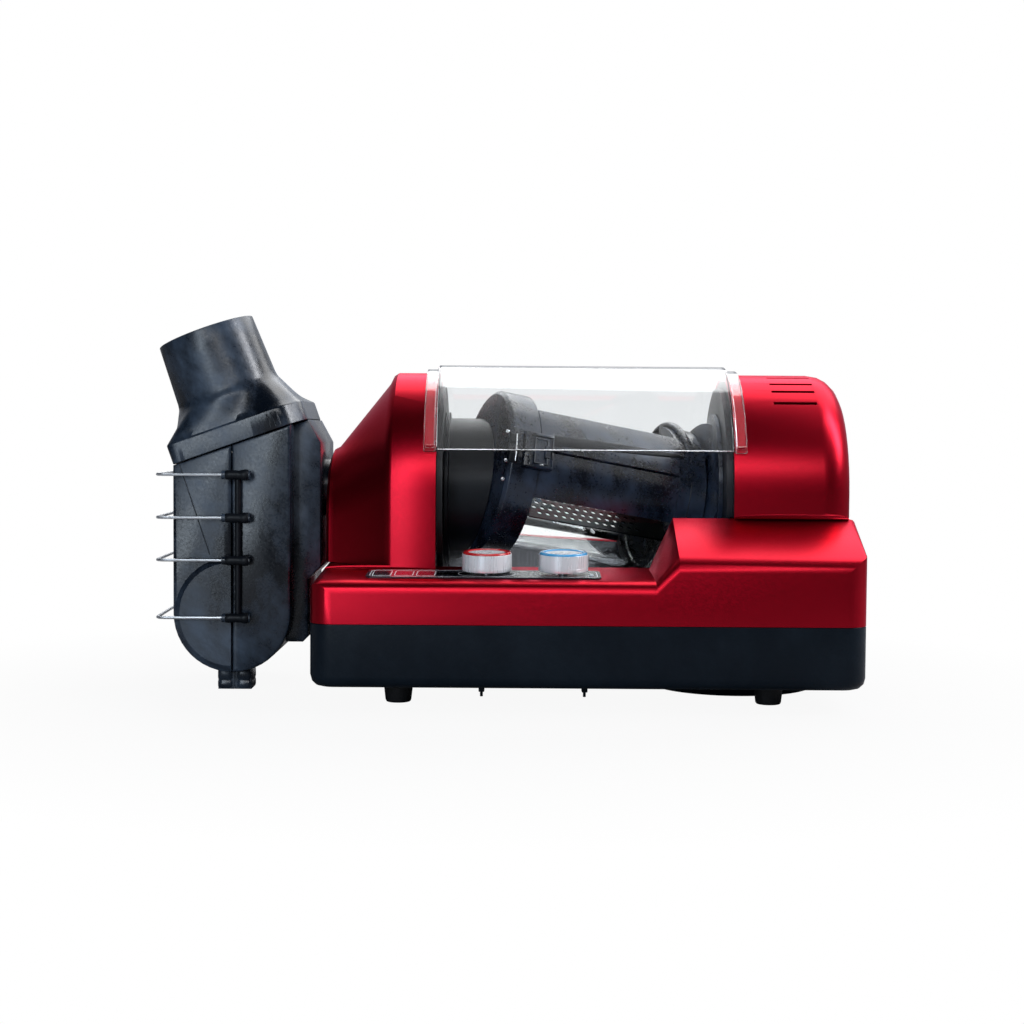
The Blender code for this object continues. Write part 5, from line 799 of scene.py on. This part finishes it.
def end_with(tree, share, first, second, end):
    """Mixes two shaders by a share and links the mix to the end of the tree."""
    mix = tree.nodes.new("ShaderNodeMixShader")
    for socket, value in zip(mix.inputs, (share, first.outputs[0], second.outputs[0])):
        tree.links.new(value, socket)
    tree.links.new(mix.outputs[0], tree.nodes[end].inputs["Surface"])


def floor_white():
    """White paper: lit a little near the roaster, where soft shadows show, and plain white half a metre out."""
    finish, tree, shader, place = new_finish("floor_white")
    drift = speckle(tree, place, .4, 2.0)
    tree.links.new(blend_tones(tree, drift, (.30, .30, .305), (.33, .33, .335)), shader.inputs["Base Color"])
    set_shader(shader, roughness=.6, specular_ior_level=.15)
    reach = tree.nodes.new("ShaderNodeVectorMath")
    reach.operation = "LENGTH"
    tree.links.new(place, reach.inputs[0])
    share = reckon(tree, "MULTIPLY", seen_plainly(tree),
                   spread(tree, reach.outputs["Value"], .93, 1, .24, .50))
    end_with(tree, share, shader, tree.nodes.new("ShaderNodeEmission"), "Material Output")
    return finish


def make_floor():
    """A flat pale sheet under the roaster, wide enough to reach the horizon of every view."""
    across = np.linspace(-30, 30, 7)
    grid = np.stack(np.broadcast_arrays(across[None, :], across[:, None], np.zeros((7, 7))), -1)
    floor = surface("studio_floor", grid)
    bpy.context.scene.collection.objects.link(floor)
    floor.data.materials.append(floor_white())


def make_air():
    """White beyond the roaster, and in what it mirrors a room that is dark in front and bright behind.

    The room's brightness follows Y, plus shares of Z and X, so it is brighter above and a little at the right.
    """
    world = bpy.data.worlds.new("studio_air")
    world.use_nodes = True
    tree = world.node_tree
    place = tree.nodes.new("ShaderNodeTexCoord")
    axes = tree.nodes.new("ShaderNodeSeparateXYZ")
    tree.links.new(place.outputs["Generated"], axes.inputs[0])
    height = reckon(tree, "MULTIPLY_ADD", axes.outputs["Z"], .30, axes.outputs["Y"])
    side = reckon(tree, "MULTIPLY_ADD", axes.outputs["X"], .25, height)
    room = tree.nodes["Background"]
    tree.links.new(blend_tones(tree, side, (.012, .015, .022), (.50, .52, .56), .10, .95), room.inputs["Color"])
    white = tree.nodes.new("ShaderNodeBackground")
    white.inputs["Color"].default_value = (1, 1, 1, 1)
    end_with(tree, seen_plainly(tree), room, white, "World Output")
    bpy.context.scene.world = world


def make_light(name, place, aim, size, power, tone):
    """A soft rectangular light at `place`, facing `aim`."""
    lamp = bpy.data.lights.new(name, "AREA")
    lamp.shape = "RECTANGLE"
    lamp.size, lamp.size_y = size
    lamp.energy = power
    lamp.color = tone
    holder = bpy.data.objects.new(name, lamp)
    holder.location = place
    holder.rotation_euler = (Vector(aim) - Vector(place)).to_track_quat("-Z", "Y").to_euler()
    bpy.context.scene.collection.objects.link(holder)


def make_studio():
    """Floor, air, a wide light behind and above, a cool one at the left, a fill in front and one at the right."""
    make_floor()
    make_air()
    make_light("top_light", (.26, .70, 1.05), (.06, .02, .1), (1.6, .95), 16, (1, 1, 1))
    make_light("left_light", (-.57, -1.21, .40), (-.2, 0, .12), (.30, .8), 5.2, (.76, .88, 1))
    make_light("front_fill", (.1, -1.75, .98), (.05, 0, .12), (1.6, .30), 9, (.94, .97, 1))
    make_light("right_light", (1.25, -.05, 1.05), (-.15, 0, .2), (.40, 1.0), 20, (.93, .95, 1))


def set_camera():
    """The photograph's view: a long lens 1.13 m before the base and 186 mm up, pitched and rolled a little."""
    lens = bpy.data.cameras.new("product_view")
    lens.sensor_width = 36
    lens.lens = 59.8
    eye = bpy.data.objects.new("product_view", lens)
    eye.location = (.0090, -1.24815, .1855)
    eye.rotation_euler = np.radians((90 - 2.6, -.4, 0))
    bpy.context.scene.collection.objects.link(eye)
    bpy.context.scene.camera = eye


make_studio()
set_camera()
bpy.context.scene.view_settings.view_transform = "Standard"
